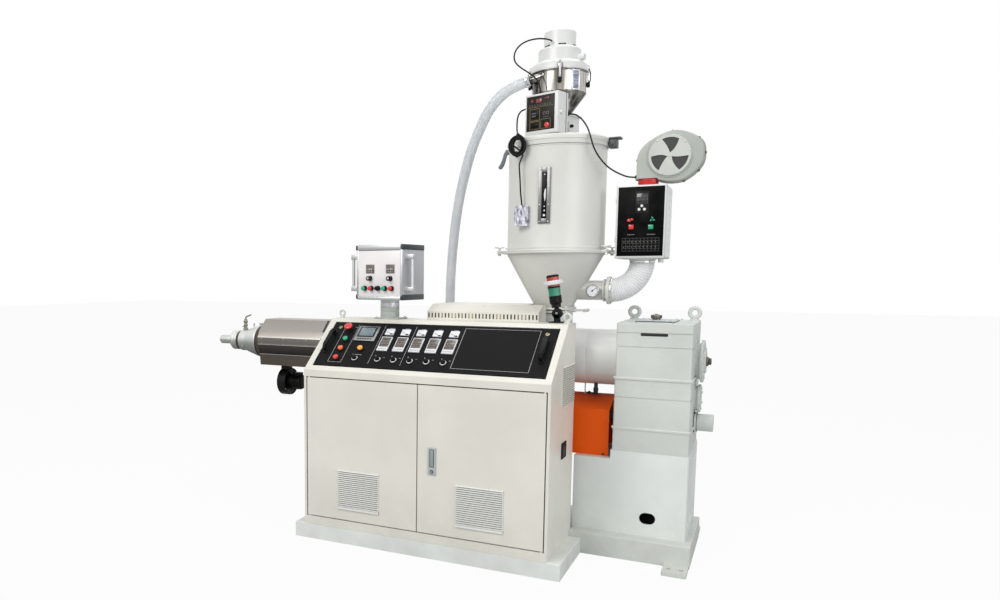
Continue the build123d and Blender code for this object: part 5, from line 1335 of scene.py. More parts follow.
def blade_window(start, inner=12.0, outer=88.0, spread=54.0):
    """The outline of a window shaped like a blade, from near the hub to the plate's edge."""
    a0, a1 = radians(start), radians(start + spread)
    hub = polar(inner, (a0 + a1) / 2)
    line = [hub] + through(hub, polar(outer / 2, a0 - 0.10), polar(outer, a0))
    line += [polar(outer, a0 + (a1 - a0) * k / 12) for k in range(1, 13)]
    return line + through(polar(outer, a1), polar(outer / 2, a1 - 0.16), hub)[:-1]


plate_middle = (scroll_x, -66, scroll_z)
outlines = [[polar(99.5, tau * k / 120) for k in range(120)]] + [blade_window(start) for start in (62, 182, 302)]
edges = []
for line in outlines:
    ring = [bench.verts.new((x, y, 0)) for x, y in line]
    edges += [bench.edges.new((ring[i], ring[(i + 1) % len(ring)])) for i in range(len(ring))]
filled = bmesh.ops.triangle_fill(bench, use_beauty=True, use_dissolve=False, edges=edges)
faces = [f for f in filled["geom"] if isinstance(f, bmesh.types.BMFace)]
for f in faces:
    if f.normal.z < 0:
        f.normal_flip()
pushed = bmesh.ops.extrude_face_region(bench, geom=faces)
moved = [v for v in pushed["geom"] if isinstance(v, bmesh.types.BMVert)]
bmesh.ops.translate(bench, vec=(0, 0, -3.0), verts=moved)
bmesh.ops.transform(bench, matrix=front_face(*plate_middle) @ Matrix.Scale(mm, 4), verts=bench.verts)
turned(rounded([(99, -0.2), (101, 1.5), (101, 8), (96, 8)], 1), plate_middle, BACK, 96)
turned(rounded([(0, 2.6), (7, 2.2), (12, -0.5)], 1), plate_middle, FRONT, 24)
to_object("blower_inlet_plate", plate_paint, replaces=["blower_grille"])
print("window outlines", [len(line) for line in outlines[1:]])

# %% Mesh, rim bolts and clip
turned([(0, 0), (96, 0), (96, 3), (0, 3)], (scroll_x, -60, scroll_z), BACK)
to_object("blower_mesh", mesh_dark)
for angle in (-62, -30, 5, 33, 88, 142, 184, 212):
    far = max(spiral_line(3.5), key=lambda p: cos(atan2(p[1], p[0]) - radians(angle)) * 1000 + hypot(*p) * 0.001)
    spot = (scroll_x + far[0], 0, scroll_z + far[1])
    turned(rounded([(6.5, -5), (6.5, 5)], 0), spot, BACK, 6)
    turned([(0, -8), (5.5, -8), (6.5, -7), (6.5, 7), (5.5, 8), (0, 8)], spot, BACK, 16)
to_object("blower_rim_bolts", moulded("tab_grey", "chrome_parts", (0.15, 0.16, 0.155), 0.45))
face_spots = [(scroll_x + x, -66.4, scroll_z + z) for x, z in (polar(95, radians(a)) for a in (10, 40, 130, 250))]
repeated("blower_face_screws", small_screw, facing(face_spots, FRONT), galvanised, size=1.1)
slab((-17, -3, 0), (17, 3, 4), 1.2, front_face(680, -5, 2089) @ spun(35))
to_object("blower_clip", soft_black)
turned(rounded([(0, 0), (10, 0), (10, 8), (7, 11), (0, 11)], 1), (418, -24, 1938), LEFT, 20)
to_object("blower_neck_gland", soft_black)
print("blower ready")
# %% [markdown]
# ## Control panel
# The panel leans back, so its fittings are drawn in the slope's own frame: x along it, y up it and
# z out of it. One matrix puts them in place. White lines part the groups; nothing is lettered.

# %% The slope's frame and the instruments
slope = Matrix(((1, 0, 0, -1.154), (0, 0.77373, -0.63349, -0.750), (0, 0.63349, 0.77373, 0.932), (0, 0, 0, 1)))
columns = [402.0 + 92 * i for i in range(5)]


def on_panel(name, finish, **more):
    """Empties the bench into a piece of the hinged panel."""
    return to_object(name, finish, "control_panel", **more)


for u in columns:
    slab((u - 31, 165, 0), (u + 31, 270, 7), 1.6, slope)
on_panel("controller_frames", white_plastic, replaces=["panel_instruments"])
for u in columns:
    slab((u - 26.5, 193, 5), (u + 26.5, 264, 7.6), 0.6, slope)
on_panel("controller_screens", digits)
for u in columns:
    for k in range(5):
        slab((u - 24 + 10 * k, 175, 6.6), (u - 18 + 10 * k, 180, 7.4), 0.3, slope)
on_panel("controller_keys", grey_mark)
for u in columns:
    slab((u - 25, 286, 0), (u + 25, 330.5, 8), 1.8, slope)
on_panel("panel_meters", meter_white)
print("controllers", len(columns))

# %% Meter scales, display and backs
for u in columns:
    for k in range(2):
        slab((u + 19, 226 + 16 * k, 7.4), (u + 22, 229 + 16 * k, 7.9), 0, slope)
    hub = [(min(u + 14 + 9 * cos(a), u + 24), 287.5 + 9 * sin(a)) for a in map(radians, range(0, 181, 15))]
    prism(hub, 0.5, slope @ at(0, 0, 7.9))
    slab((0, -0.9, 8.3), (34, 0.9, 9.0), 0, slope @ at(u + 14, 290, 0) @ spun(152))
    for k in range(9):
        slab((30, -0.3, 8), (33, 0.3, 8.2), 0, slope @ at(u + 12, 288, 0) @ spun(100 + 8 * k))
slab((218, 262, 8), (319, 338, 8.9), 1.0, slope)
for k in range(6):
    slab((226 + 15 * k, 243, 6.8), (237 + 15 * k, 250, 7.8), 0.8, slope)
on_panel("panel_marks", soft_black)
for u in columns:
    slabs(slope, ((u - 25, 170, -70), (u + 25, 265, -3.8), 1.5),
                 ((u - 20, 290, -44), (u + 20, 326, -3.8), 1.5))
slab((214, 243, -54), (323, 338, -3.8), 1.5, slope)
on_panel("instrument_backs", black_plastic)
slab((204, 233, 0), (333, 348, 7), 3.0, slope)
on_panel("display_bezel", brushed("display_bezel_grey", "chrome_parts", (0.34, 0.35, 0.35), 0.32, (18, 2, 18)))
slab((226, 268, 8.4), (311, 332, 9.3), 0.4, slope)
on_panel("display_screen", display_glass)
print("display 85 x 64 mm")

# %% White lines
for u in (195, 356.8, 541.5, 817):
    slab((u - 0.9, 68, 0), (u + 0.9, 361, 0.35), 0, slope)
slabs(slope, ((116, 68, 0), (195, 69.8, 0.35), 0),
             ((115, 68, 0), (116.8, 361, 0.35), 0))
frame_lines(817, 1212, 68, 361, 1.8, slope, out=0.35)
for u in columns:
    slabs(slope, ((u + 26, 118, 0), (u + 36, 120, 0.3), 0),
                 ((u - 11, 340, 0), (u + 13, 343, 0.3), 0))
for u, s, wide in ((176, 340, 16), (258, 196, 18), (256, 130, 40), (134, 118, 24), (132, 190, 24), (132, 262, 24)):
    slab((u, s, 0), (u + wide, s + 2.2, 0.3), 0, slope)
on_panel("panel_lines", Finish("panel_line_print", "instrument_plastic", (0.46, 0.46, 0.46), 0.5))
print("lines drawn")

# %% Buttons and selectors
keys = (("green_key", green_button, 157, 239), ("orange_key", orange_button, 158, 165),
        ("red_key", red_button, 158, 95), ("yellow_key", yellow_button, 275, 172))
stop = (146, 323, 0)
turned(rounded([(0, 0), (23, 0), (23, 4), (15, 6), (12, 20), (0, 20)], 1.5), stop, UP, 40, slope)
for _, _, u, s in keys:
    turned(rounded([(0, 0), (19, 0), (19, 4), (17, 8), (15, 8.5), (0, 8.5)], 1.5), (u, s, 0), UP, 36, slope)
on_panel("button_collars", gloss_black, replaces=["panel_controls"])
turned(rounded([(0, 17), (13, 17), (24, 21), (24, 28), (17, 33), (0, 34)], 3.5), stop, UP, 48, slope)
on_panel("stop_mushroom", red_button)
for name, look, u, s in keys:
    turned(rounded([(0, 7), (14.5, 7), (14.5, 17), (11, 19), (0, 19.3)], 2.5), (u, s, 0), UP, 36, slope)
    on_panel("panel_" + name, look)
selectors = [(u, slope @ at(u, 102, 0) @ spun(lean)) for u, lean in zip([267.0] + columns, (28, 35, 22, 30, 33, 26))]
for u, lean in selectors:
    turned(rounded([(0, 4), (13.5, 4), (12.5, 14), (0, 14)], 1.5), (u, 102, 0), UP, 32, slope)
    slab((-4, -13, 12), (4, 13, 24), 1.5, lean)
on_panel("selector_knobs", gloss_black)
for u, lean in selectors:
    turned([(16.5, 0), (17, 2), (17, 4), (15, 5.5), (13, 5.5)], (u, 102, 0), UP, 36, slope)
    slab((-0.8, 2, 23.6), (0.8, 11, 24.5), 0.2, lean)
on_panel("selector_rims", silver)
print("keys", len(keys), "selectors", len(selectors))

# %% Locks, bow handles and edge
lock_places = [(u, 336.6, 0) for u in (84.4, 1247.2)]
for place in lock_places:
    turned(rounded([(0, 4), (8, 4.5), (9, 3), (11, 2.5), (11, 0)], 0.8), place, UP, 32, slope)
on_panel("panel_locks", brass)
for place in lock_places:
    slab((-1.8, -8.5, 4), (1.8, 8.5, 5.2), 0.4, slope @ at(*place) @ spun(-40))
on_panel("panel_lock_slots", soft_black)
for u in (69, 1255):
    tube([on(slope, *p) for p in bent([(u, 148, 0), (u, 148, 33), (u, 288, 33), (u, 288, 0)])], 9.6, 20)
    slab((u - 13, 158, 24), (u + 13, 278, 41), 7.5, slope, segments=4)
    for s in (148, 288):
        turned(rounded([(0, 0), (14.5, 0), (14, 5), (11, 7.5), (0, 7.5)], 1.5), (u, s, 0), UP, 28, slope)
on_panel("panel_bow_handles", gloss_black)
for x0, x1, y0, y1 in ((42, 1296, 40, 43), (42, 1296, 373, 376), (42, 45, 43, 373), (1293, 1296, 43, 373)):
    slab((x0, y0, -4), (x1, y1, 0.9), 0.5, slope)
on_panel("panel_edge", gloss_black)
print("panel ready")

# %% [markdown]
# ## Operator console
# An extruded aluminium frame with dark caps on its upright edges, a pale face with two small
# displays, and a tube handle on each side. It swivels, so its pieces ride on its own body.

# %% Console case
con = at(-832, -350, 0) @ spun(-6.5)
low, high = 1300.0, 1603.0


def on_console(name, finish, **more):
    """Empties the bench into a piece of the swivelling console."""
    return to_object(name, finish, "operator_console", **more)


slab((-158, -101, low + 1), (141, 127, high - 1), 5, con)
for z0, z1 in ((low, low + 20), (high - 31, high)):
    slab((-149, -105, z0), (128, -97, z1), 3.0, con)
slabs(con, ((-162, -95, low + 26), (-150, 121, high - 27), 2.0),
           ((-151, -105, low + 19), (-143, -97, high - 30), 1.5),
           ((128, -105, low + 19), (141, -96, high - 30), 3.0))
turned(rounded([(18.1, 1258.3), (53, 1258.3), (53, 1285), (51.5, 1286.5), (51.5, 1289), (53, 1290.5), (53, 1301),
                (18.1, 1301)], 0.8), turn=con)
on_console("console_frame", case_aluminium, replaces=["console_box"])
slabs(con, ((140, -100, low + 31), (145, 126, high - 30), 1.5),
           ((-157, 125, low + 31), (140, 130.5, high - 30), 1.5))
on_console("console_side_panels", painted("console_side_paint", "aluminium_case", (0.46, 0.475, 0.505), 0.32, 0.4, 0.2))
for z0, z1, shift in ((low, low + 32, 4), (high - 31, high, 0)):
    slab((129, -105, z0), (145, 131, z1), 4.5, con, segments=3)
    slab((-162, -104, z0 + shift), (-149, 131, z1 - 4), 4.0, con, segments=3)
    slab((-160, 112, z0), (144, 131, z1), 4.5, con, segments=3)
on_console("console_caps", blue_black)
slab((-143, -103.0, low + 20), (129, -99, high - 32), 0.6, con)
on_console("console_face", console_face)
slabs(con, ((-145.5, -103.6, low + 19), (-143.4, -100, high - 31), 0.3),
           ((-143, -104.2, high - 33.4), (129, -100, high - 31.6), 0.3),
           ((-143, -103.8, low + 18.8), (129, -100, low + 19.9), 0.3))
on_console("console_face_gap", lever_grey)
print("console case", high - low, "mm high")

# %% Console displays, knobs and buttons
displays = (-65, 65)
buttons = [(-100 + 43.7 * i, look) for i, look in enumerate((green_button, red_button, None, green_button, red_button))]


def button_top(x):
    turned(rounded([(0, 27.5), (10, 27), (11.6, 25), (11.6, 19)], 1), (x, -103, low + 64), FRONT, 32, con)


for x in displays:
    slab((x - 27, -106.5, low + 146), (x + 27, -102, low + 194), 1.2, con)
on_console("console_displays", moulded("display_brown", "instrument_plastic", (0.155, 0.13, 0.115), 0.3),
           replaces=["console_trim"])
for x in displays:
    slab((x - 22, -107.4, low + 151), (x + 16, -106, low + 173), 0.4, con)
on_console("console_digits", console_digits)
for x in displays:
    turned(rounded([(0, 0), (15, 0), (13.5, 4), (12.5, 5), (12.5, 27), (0, 27)], 1.0), (x, -103, low + 118), FRONT,
           32, con)
for x, look in buttons:
    turned(rounded([(0, 0), (14.5, 0), (14.5, 6), (12.5, 8), (12.5, 20), (0, 20)], 1.2), (x, -103, low + 64), FRONT,
           32, con)
    if look is None:
        button_top(x)
on_console("console_knobs", gloss_black)
for x in displays:
    turned(rounded([(0, 28.2), (6, 28), (6.5, 26.5)], 0.5), (x, -103, low + 118), FRONT, 32, con)
on_console("console_knob_caps", silver)
for name, wanted in (("console_green_keys", green_button), ("console_red_keys", red_button)):
    for x, look in buttons:
        if look is wanted:
            button_top(x)
    on_console(name, wanted)
print("console buttons", len(buttons))

# %% Console handles
handles = ((-1, -162), (1, 145))
for side, x in handles:
    tube([on(con, x + side * 37, -68, low + z) for z in (49, 247)], 9, 28)
    for z in (low + 46, low + 222):
        x0, x1 = sorted((x, x + side * 48))
        slab((x0, -80, z), (x1, -56, z + 28), 3.5, con, segments=3)
        slab((min(x, x + side * 3), -84, z - 3), (max(x, x + side * 3), -52, z + 31), 1.2, con)
on_console("console_handles", case_aluminium)
screws = [(on(con, x + side * 48, -68, z), tuple(con.to_3x3() @ Vector(RIGHT) * side), UP)
          for side, x in handles for z in (low + 60, low + 236)]
repeated("console_handle_screws", small_screw, screws, galvanised, "operator_console")

# %% Console column
column_paint = painted("column_paint", "grey_paint", (0.43, 0.47, 0.44), 0.30, 0.5, 0.3)
turned(rounded([(66, 1194), (66, 1198), (62, 1200), (55, 1200), (53, 1203), (53, 1232), (51.5, 1233.5), (51.5, 1236),
                (53, 1237.5), (53, 1258), (18, 1258), (18, 1278), (0, 1278)], 1.2), (-832, -350, 0), steps=72)
slab((-900, -415, 1194), (-752, -285, 1200.5), 2.5)
to_object("console_post", column_paint, replaces=["console_column"])
bolts = facing([(x, y, 1200.5) for x in (-888, -764) for y in (-403, -297)], UP)
repeated("console_post_bolts", hex_screw, bolts, galvanised, size=0.85)

# %% [markdown]
# ## Cabinet, doors and vents
# The sheets keep their CAD shape. Stacked louvres, hinges, a latch, a lift handle and the seam
# shadows make them a cabinet.

# %% Side louvres and latch
slab((181, -538, 798), (184.5, -285, 1000), 0.8)
rows = [803 + i * 192 / 17 for i in range(17)]
for z in rows:
    bar([(182 + x, -530, z + h) for x, h in ((0, 0), (0, 9.4), (2.2, 8.4), (8.5, 3.4), (8.5, 2.4))], (0, 237, 0))
to_object("side_louvres", ivory, smooth_angle=20, replaces=["side_fittings"])
for z in rows:
    slab((183, -530, z - 2.2), (190, -293, z + 2.2), 0.2)
to_object("side_louvre_shadows", moulded("louvre_shadow", "ivory_paint", (0.33, 0.32, 0.29), 0.6))
latch_black = moulded("latch_black", "black_plastic", (0.014, 0.014, 0.015), 0.6, Specular_IOR_Level=0.08)
slab((180.5, -517, 531), (186.5, -425, 612), 2.5, segments=3)
to_object("side_latch", latch_black)
slab((186, -500, 545), (188, -470, 598), 1.5)
slab((186, -461, 560), (187.6, -440, 584), 1.0)
to_object("side_latch_keys", dark_slot)
print("louvre rows", len(rows))

# %% Door handle
slab((-428, -756, 437), (-384, -750, 578), 2.5, segments=3)
handle_steel = moulded("door_handle_grey", "chrome_parts", (0.44, 0.46, 0.45), 0.40)
to_object("door_handle_plate", handle_steel, "right_door", replaces=["door_handle"])
slab((-415, -759.6, 482), (-397, -755, 566), 2.5, segments=3)
turned([(0, 3.6), (5.5, 3.6), (5.5, 0)], (-406, -756, 455), FRONT, 20)
to_object("door_handle_lever", moulded("door_lever_grey", "chrome_parts", (0.27, 0.33, 0.335), 0.36), "right_door")
slab((-418.5, -756.6, 478.5), (-393.5, -755.6, 569.5), 0.3)
turned(rounded([(0, 1.2), (9, 1.2), (10.5, 0)], 0.3), (-406, -756, 455), FRONT, 28)
to_object("door_handle_recess", moulded("door_recess_dark", "chrome_parts", (0.045, 0.075, 0.085), 0.4), "right_door")
print("door handle ready")

# %% Door louvres and hinge knuckles
louvre_paint = painted("louvre_paint", "ivory_paint", (0.76, 0.765, 0.735), 0.30, 0.4, 0.2)
# Dark strips under the doors' hoods are painted shadow.
louvre_shade_strip = moulded("louvre_shade_strip", "ivory_paint", (0.10, 0.105, 0.09), 0.7)
hoods = [204 + i * 10.75 for i in range(18)]
for name, x0, hinge_x in (("left", -948, -1126), ("right", -279, 153)):
    body = name + "_door"
    for z in hoods:
        bar([(x0 + 3, y, z + h) for y, h in ((-750, 0), (-758.6, 0), (-758.6, 1.6), (-752.4, 6.5), (-750, 6.5))],
            (239, 0, 0))
    bar([(x0, y, z) for y, z in ((-750, 189.5), (-759, 191), (-759.4, 193), (-756.5, 202), (-750, 202))], (245, 0, 0))
    bar([(x0, y, z) for y, z in ((-750, 397), (-759, 397), (-759.4, 399), (-757.5, 403), (-750, 403.5))], (245, 0, 0))
    bar([(x0 + 241.5, y, 195) for y in (-750, -757.5)] + [(x0 + 245, y, 195) for y in (-756, -750)], (0, 0, 206))
    to_object(name + "_door_louvres", louvre_paint, body, smooth_angle=20)
    # A dark strip under each hood is painted shadow.
    for z in hoods:
        slab((x0 + 3, -751.4, z - 4.3), (x0 + 242, -749, z + 0.1), 0)
    to_object(name + "_door_louvre_gaps", louvre_shade_strip, body)
    for z in (135, 888):
        turned(rounded([(0, -9), (5.5, -9), (5.5, 9), (0, 9)], 1), (hinge_x, -742, z), steps=16)
    to_object(name + "_door_knuckles", ivory, body)
print("hoods in each door", len(hoods))

# %% Mounting plate inside the doors
slab((-1120, -288, 150), (145, -285, 862), 1.0)
for z in (300, 470, 640, 782):
    slab((-1075, -296, z - 17), (100, -288, z + 17), 1.0)
to_object("mounting_plate", galvanised)
for z in (205, 385, 555, 722, 838):
    slab((-1085, -330, z - 20), (110, -288, z + 20), 2.0)
for x in (-1112, 110):
    slab((x, -330, 170), (x + 27, -288, 858), 2.0)
to_object("wiring_ducts", moulded("duct_grey", "grey_paint", (0.42, 0.44, 0.46), 0.5))
switches = [(-1068 + k * pitch, z, wide, tall, deep)
            for z, wide, pitch, tall, deep, count in ((300, 76, 84, 105, 90, 14), (470, 45, 53, 84, 80, 22),
                                                      (640, 92, 100, 110, 95, 11), (782, 18, 22, 66, 45, 53))
            for k in range(count)]
for x, z, wide, tall, deep in switches:
    slab((x, -296 - deep * 0.7, z - tall / 2), (x + wide, -296, z + tall / 2), 1.5)
to_object("switchgear_cases", moulded("switchgear_grey", "white_plastic", (0.56, 0.57, 0.56), 0.4))
for x, z, wide, tall, deep in switches:
    slab((x + wide * 0.2, -296 - deep, z - tall * 0.24), (x + wide * 0.8, -295 - deep * 0.7, z + tall * 0.24), 1.2)
to_object("switchgear_fronts", black_plastic)
print("switchgear cases", len(switches))

# %% Vent cover, desk eyes and seams
slab((-632, -271.5, 1198), (-16, -270.5, 1236), 0.1)
to_object("vent_cover_dark", moulded("vent_shadow", "black_plastic", (0.050, 0.038, 0.026), 0.7))
for x0, x1 in ((-560, -548), (-500, -458), (-432, -425), (-398, -360), (-325, -316), (-250, -212), (-120, -70)):
    slab((x0, -272.6, 1206), (x1, -271.8, 1228), 0.2)
to_object("vent_cover_inside", moulded("vent_inside", "ivory_paint", (0.42, 0.36, 0.27), 0.7))
for x, y, ring_r, wire, height, turn in ((-1118, -380, 15, 5.5, 26, 0), (150, -325, 18, 6.5, 30, 40)):
    place = at(x, y, 1194 + height) @ spun(turn)
    ring = [on(place, ring_r * cos(t), 0, ring_r * sin(t)) for t in (tau * k / 36 for k in range(37))]
    tube(ring, wire + 0.4, 14, ends=False)
    turned(rounded([(wire * 2.7, 0), (wire * 2.7, 5), (wire * 1.4, 9), (wire * 1.4, height - ring_r)], 2),
           (x, y, 1194), UP, 28)
to_object("desk_eyes", cast_grey)
spots = facing([(x, -212, 1264.2) for x in (-600, -330, -50)], (0, -0.42, 0.907))
repeated("vent_cover_screws", small_screw, spots, galvanised, size=1.1)
print("cabinet ready")
# %% [markdown]
# ## Gearbox and its covers
# A sand casting with machined ledges. The covers on its right side are turned, so they catch the
# light in rings; a knurled cap and forged eyes sit on the top.

# %% Gearbox covers, cap and shaft
gear_right, axis_z = 738.0, 1000.0


def coaxial(outline, soft, steps, x=0):
    """A turned shape round the screw's own axis."""
    turned(rounded(outline, soft), (x, 0, axis_z), RIGHT, steps)


turned(rounded([(92, 0), (92, 22), (108, 22), (108, 36), (60, 36), (60, 46), (22, 46), (20, 40)], 2),
       (gear_right, 0, axis_z), RIGHT, 96)
turned(rounded([(63, 0), (63, 15), (72, 15), (72, 28), (30, 28), (28, 25), (0, 25)], 2), (gear_right, 0, 808), RIGHT,
       80)
turned(rounded([(50, 0), (50, 14), (44, 14), (44, 92), (30, 92), (28, 88), (0, 88)], 2.5), (gear_right, 0, 684),
       RIGHT, 64)
to_object("gearbox_turned_covers", cast_grey, replaces=["gearbox_end_covers"])
bolts = facing(around(gear_right + 36, 0, axis_z, 84, range(0, 360, 45)) + around(gear_right + 28, 0, 808, 52,
                                                                                  range(30, 390, 60)), RIGHT, UP)
repeated("gearbox_cover_bolts", cap_screw, bolts, cast_grey, size=0.95)
turned([(50.6, 1), (52, 1), (52, 4), (50.6, 4)], (gear_right, 0, 684), RIGHT)
turned([(46, 14.2), (50, 14.4), (50, 16), (45, 16)], (gear_right, 0, 684), RIGHT)
to_object("stub_gap_ring", dark_slot)
coaxial([(0, 40), (21, 40), (21, 52), (17, 53), (17, 68), (14, 70), (0, 70)], 1, 36, gear_right)
for k in range(5):
    turned([(17, 54 + 3 * k), (18.2, 55 + 3 * k), (17, 56 + 3 * k)], (gear_right, 0, axis_z), RIGHT, 36)
coaxial([(20, 46), (27, 46), (27, 56), (20, 56)], 1, 6, gear_right)
to_object("screw_shaft_end", knurled)
print("cover bolts", len(bolts))

# %% Gearbox rims, hatch, cap and eyes
for ledge in (668, 924):
    for x0, x1, y0, y1 in ((366.6, 743.4, -230.6, -228), (741, 743.4, -228, 228), (366.6, 369, -228, 228),
                           (366.6, 743.4, 228, 230.6)):
        slab((x0, y0, ledge - 3.5), (x1, y1, ledge + 0.3), 0.8)
to_object("gearbox_machined_rims", moulded("machined_edge", "stainless", (0.80, 0.82, 0.80), 0.3))
slab((372, -225.4, 1149.6), (738, -224, 1150.8), 0)
to_object("gearbox_cover_seam", moulded("seam_shadow", "grey_paint", (0.33, 0.35, 0.33), 0.5))
# The opening under the cover is a dark fill of painted shade.
slab((493, -222.6, 1135.5), (619, -216, 1148.5), 4, segments=3)
to_object("gearbox_front_slot", dark_slot)
slab((446, -110, 1198), (640, 110, 1203.6), 0.6)
to_object("gearbox_hatch_gap", lever_grey)
slab((449, -107, 1203), (637, 107, 1206), 1.2)
to_object("gearbox_hatch_plate", moulded("hatch_plate", "grey_paint", (0.50, 0.56, 0.58), 0.35))
turned(rounded([(20, 1204), (20, 1212), (25, 1213), (25, 1230), (19, 1232), (0, 1232)], 1.2), (536, 0, 0), steps=48)
turned(rounded([(0, 1231), (9, 1231), (9, 1236.5), (0, 1236.5)], 1), (536, 0, 0), steps=6)
for angle in range(0, 360, 18):
    slab((24, -2.2, 1214.5), (28, 2.2, 1230), 0.8, at(536, 0, 0) @ spun(angle))
to_object("gearbox_filler_cap", knurled)
for x in (402, 706):
    ring = [(x + 25 * cos(t), 176, 1238 + 25 * sin(t)) for t in (tau * k / 48 for k in range(49))]
    tube(ring, 10.6, 20, ends=False)
    turned(rounded([(24, 0), (24, 5), (12, 9), (11.5, 16)], 2), (x, 176, 1198), UP, 36)
to_object("gearbox_eyes", cast_grey)
spots = facing([(x, y, 1198) for x in (400, 470, 640, 712) for y in (-205, 205)] + [(x, y, 1204) for x in (460, 626)
                                                                                    for y in (-96, 96)], UP)
repeated("gearbox_top_screws", cap_screw, spots, galvanised, size=0.8)

# %% Distance piece, feed housing and coupling
coaxial([(0, 110.5), (148, 110.5), (148, 204.6), (146.4, 205.6), (146.4, 206.6), (148, 207.6), (148, 371.6),
         (0, 371.6)], 0.6, 112)
turned([(148.1, 371.0), (149.5, 371.0), (149.5, 371.8)], (0, 0, axis_z), RIGHT, 96)
to_object("turned_distance_piece", distance_paint, replaces=["distance_piece"])
coaxial([(0, -115), (112, -115), (112, 110), (0, 110)], 3, 96)
slab((-88, -88, 1000), (88, 88, 1233), 12, segments=4)
to_object("feed_casting", cast_grey, replaces=["feed_housing"])
turned(rounded([(64, 152), (64, 216), (53, 219), (53, 241), (64, 244), (64, 308), (26, 309)], 2), (0, 0, 684), RIGHT,
       64)
for angle in range(0, 360, 45):
    slab((212, -9, 40), (248, 9, 62.5), 2, at(0, 0, 684) @ spun(angle, "X"))
to_object("jaw_coupling", soft_black)
turned(rounded([(0, 800), (11, 800), (11, 816), (13, 818), (13, 836), (10, 838), (10, 862), (0, 862)], 1),
       (252, -60, 0), steps=24)
to_object("support_stud", blue_black)
turned([(0, 800), (3, 800), (3, 862), (0, 862)], (196, -60, 0), steps=12)
to_object("support_rod", galvanised)
slab((183, -12, 797), (230, 12, 803), 2)
slab((200, -3, 800), (213, 3, 809), 2)
to_object("coupling_guard_clip", gloss_black)
spots = facing([(x, -172, 505) for x in (95, 320)], FRONT)
repeated("coupling_guard_screws", small_screw, spots, black_screw, size=1.4)
print("gearbox ready")
# %% [markdown]
# ## Barrel, guard and die
# The barrel is hot steel under a folded stainless guard. At its end a flared flange carries the
# nozzle with its clamp ring, and a melt probe stands on top.

# %% Die, nozzle and probe
coaxial([(62, -1900), (98, -1898), (98, -1931), (60, -1932)], 1, 96)
coaxial([(0, -1899), (62, -1899), (62, -116), (0, -116)], 1, 72)
for band in range(8):
    start = -1820 + band * 208
    coaxial([(60, start), (76, start), (76, start + 180), (60, start + 180)], 2, 56)
to_object("barrel_and_heaters", hot_steel, replaces=["barrel"])
turned(rounded([(0, -2090.5), (69, -2090.5), (69, -2034), (78, -2032), (104, -1949), (105, -1944), (105, -1934),
                (98, -1933), (0, -1933)], 1.6, 4), (0, 0, axis_z), RIGHT, 112)
to_object("die_adapter_turned", matt_steel, replaces=["die_adapter"])
coaxial([(98.5, -1932.5), (100.5, -1930), (100.5, -1900), (98.5, -1898)], 0.8, 96)
to_object("flange_clamp_ring", brown_gap)
turned(closed([(8, -2270), (26, -2270), (29, -2266), (29, -2179), (24, -2178), (24, -2160), (61, -2160), (64, -2156),
               (64, -2139), (62.5, -2137.5), (62.5, -2135.5), (64, -2134), (64, -2112), (54, -2112), (54, -2091),
               (8, -2091)], 0.8), (0, 0, axis_z), RIGHT, 80)
to_object("die_nozzle_turned", matt_steel, replaces=["die_nozzle"])
coaxial([(54.2, -2112), (57.5, -2111), (57.5, -2092), (54.2, -2091)], 0.5, 64)
coaxial([(24.2, -2178), (27, -2177), (27, -2161), (24.2, -2160.5)], 0.5, 48)
to_object("die_gap_rings", brown_gap)
print("die ready")

# %% Melt probe and die bolts
probe_x, foot = -2071.0, 1065.0
turned(rounded([(0, 0), (16.5, 0), (16.5, 16), (12, 18), (0, 18)], 1), (probe_x, 0, foot), steps=6)
turned(rounded([(11, 16), (11, 30), (14, 31), (14, 42), (10, 44), (10, 50), (14, 52), (14, 66), (11, 68), (11, 76),
                (0, 76)], 1), (probe_x, 0, foot), steps=28)
tube([(probe_x, -19, foot + 60), (probe_x, 19, foot + 60)], 4, 12)
tube([(probe_x - 22, -6, foot + 24), (probe_x + 10, -6, foot + 34)], 3.2, 10)
tube(bent([(probe_x, 0, foot + 70), (probe_x, 0, foot + 90), (probe_x + 45, 0, foot + 106)]), 5, 14)
to_object("melt_probe", brushed("probe_steel", "stainless", (0.33, 0.31, 0.27), 0.34, (9, 9, 9)))
turned(rounded([(0, -4), (10.5, -4), (10.5, 14), (0, 14)], 1.5), (-1946, 0, 1105), steps=6)
turned([(4.5, -20), (4.5, 10), (0, 10)], (-2002, 0, 1105), steps=12)
turned(rounded([(0, 0), (7, 0), (7, 12), (0, 12)], 1.5), (-2052, -62, 969), Vector((0, -0.9, -0.43)), 6)
to_object("die_bolts", galvanised)
print("probe ready")

# %% Guard folds and fittings
fold_highlight_steel = brushed("guard_fold_highlight_edges", "stainless", (0.82, 0.80, 0.77), 0.16, (1, 20, 20))
# Bright strips along the guard's folds are painted highlights.
for y, z in ((-159.5, 1084), (-181.6, 1040), (-181.6, 995), (-159.5, 932)):
    slab((-1850, y - 0.9, z - 1.0), (-118, y + 0.9, z + 1.0), 0.6)
to_object("guard_folds", fold_highlight_steel)
for x in (-1848, -1202, -640, -121):
    slab((x - 1.2, -86, 1151.2), (x + 1.2, 86, 1152.6), 0.3)
to_object("guard_seams", lever_grey)
# Dark bars of painted shade stand in the gaps at the guard's joints.
for x in (-1384, -610):
    bar([(x, y, z) for y, z in ((-88, 1153.2), (-160.6, 1084.6), (-159.4, 1083.4), (-86.8, 1152))], (13, 0, 0))
to_object("guard_joint_gaps", dark_slot)
for x in (-1366, -600):
    turned(rounded([(0, 0), (6, 0), (6, 8), (11, 12), (11, 20), (0, 22)], 2), (x, -176, 1050), FRONT, 24)
    slab((x - 20, -180, 1040), (x + 20, -172, 1062), 1.5)
to_object("guard_catches", bright)
rivets = facing([(x, -182.2, z) for x in range(-1820, -150, 166) for z in (1034, 1001)], FRONT)
repeated("guard_rivets", small_screw, rivets, galvanised, size=0.8)

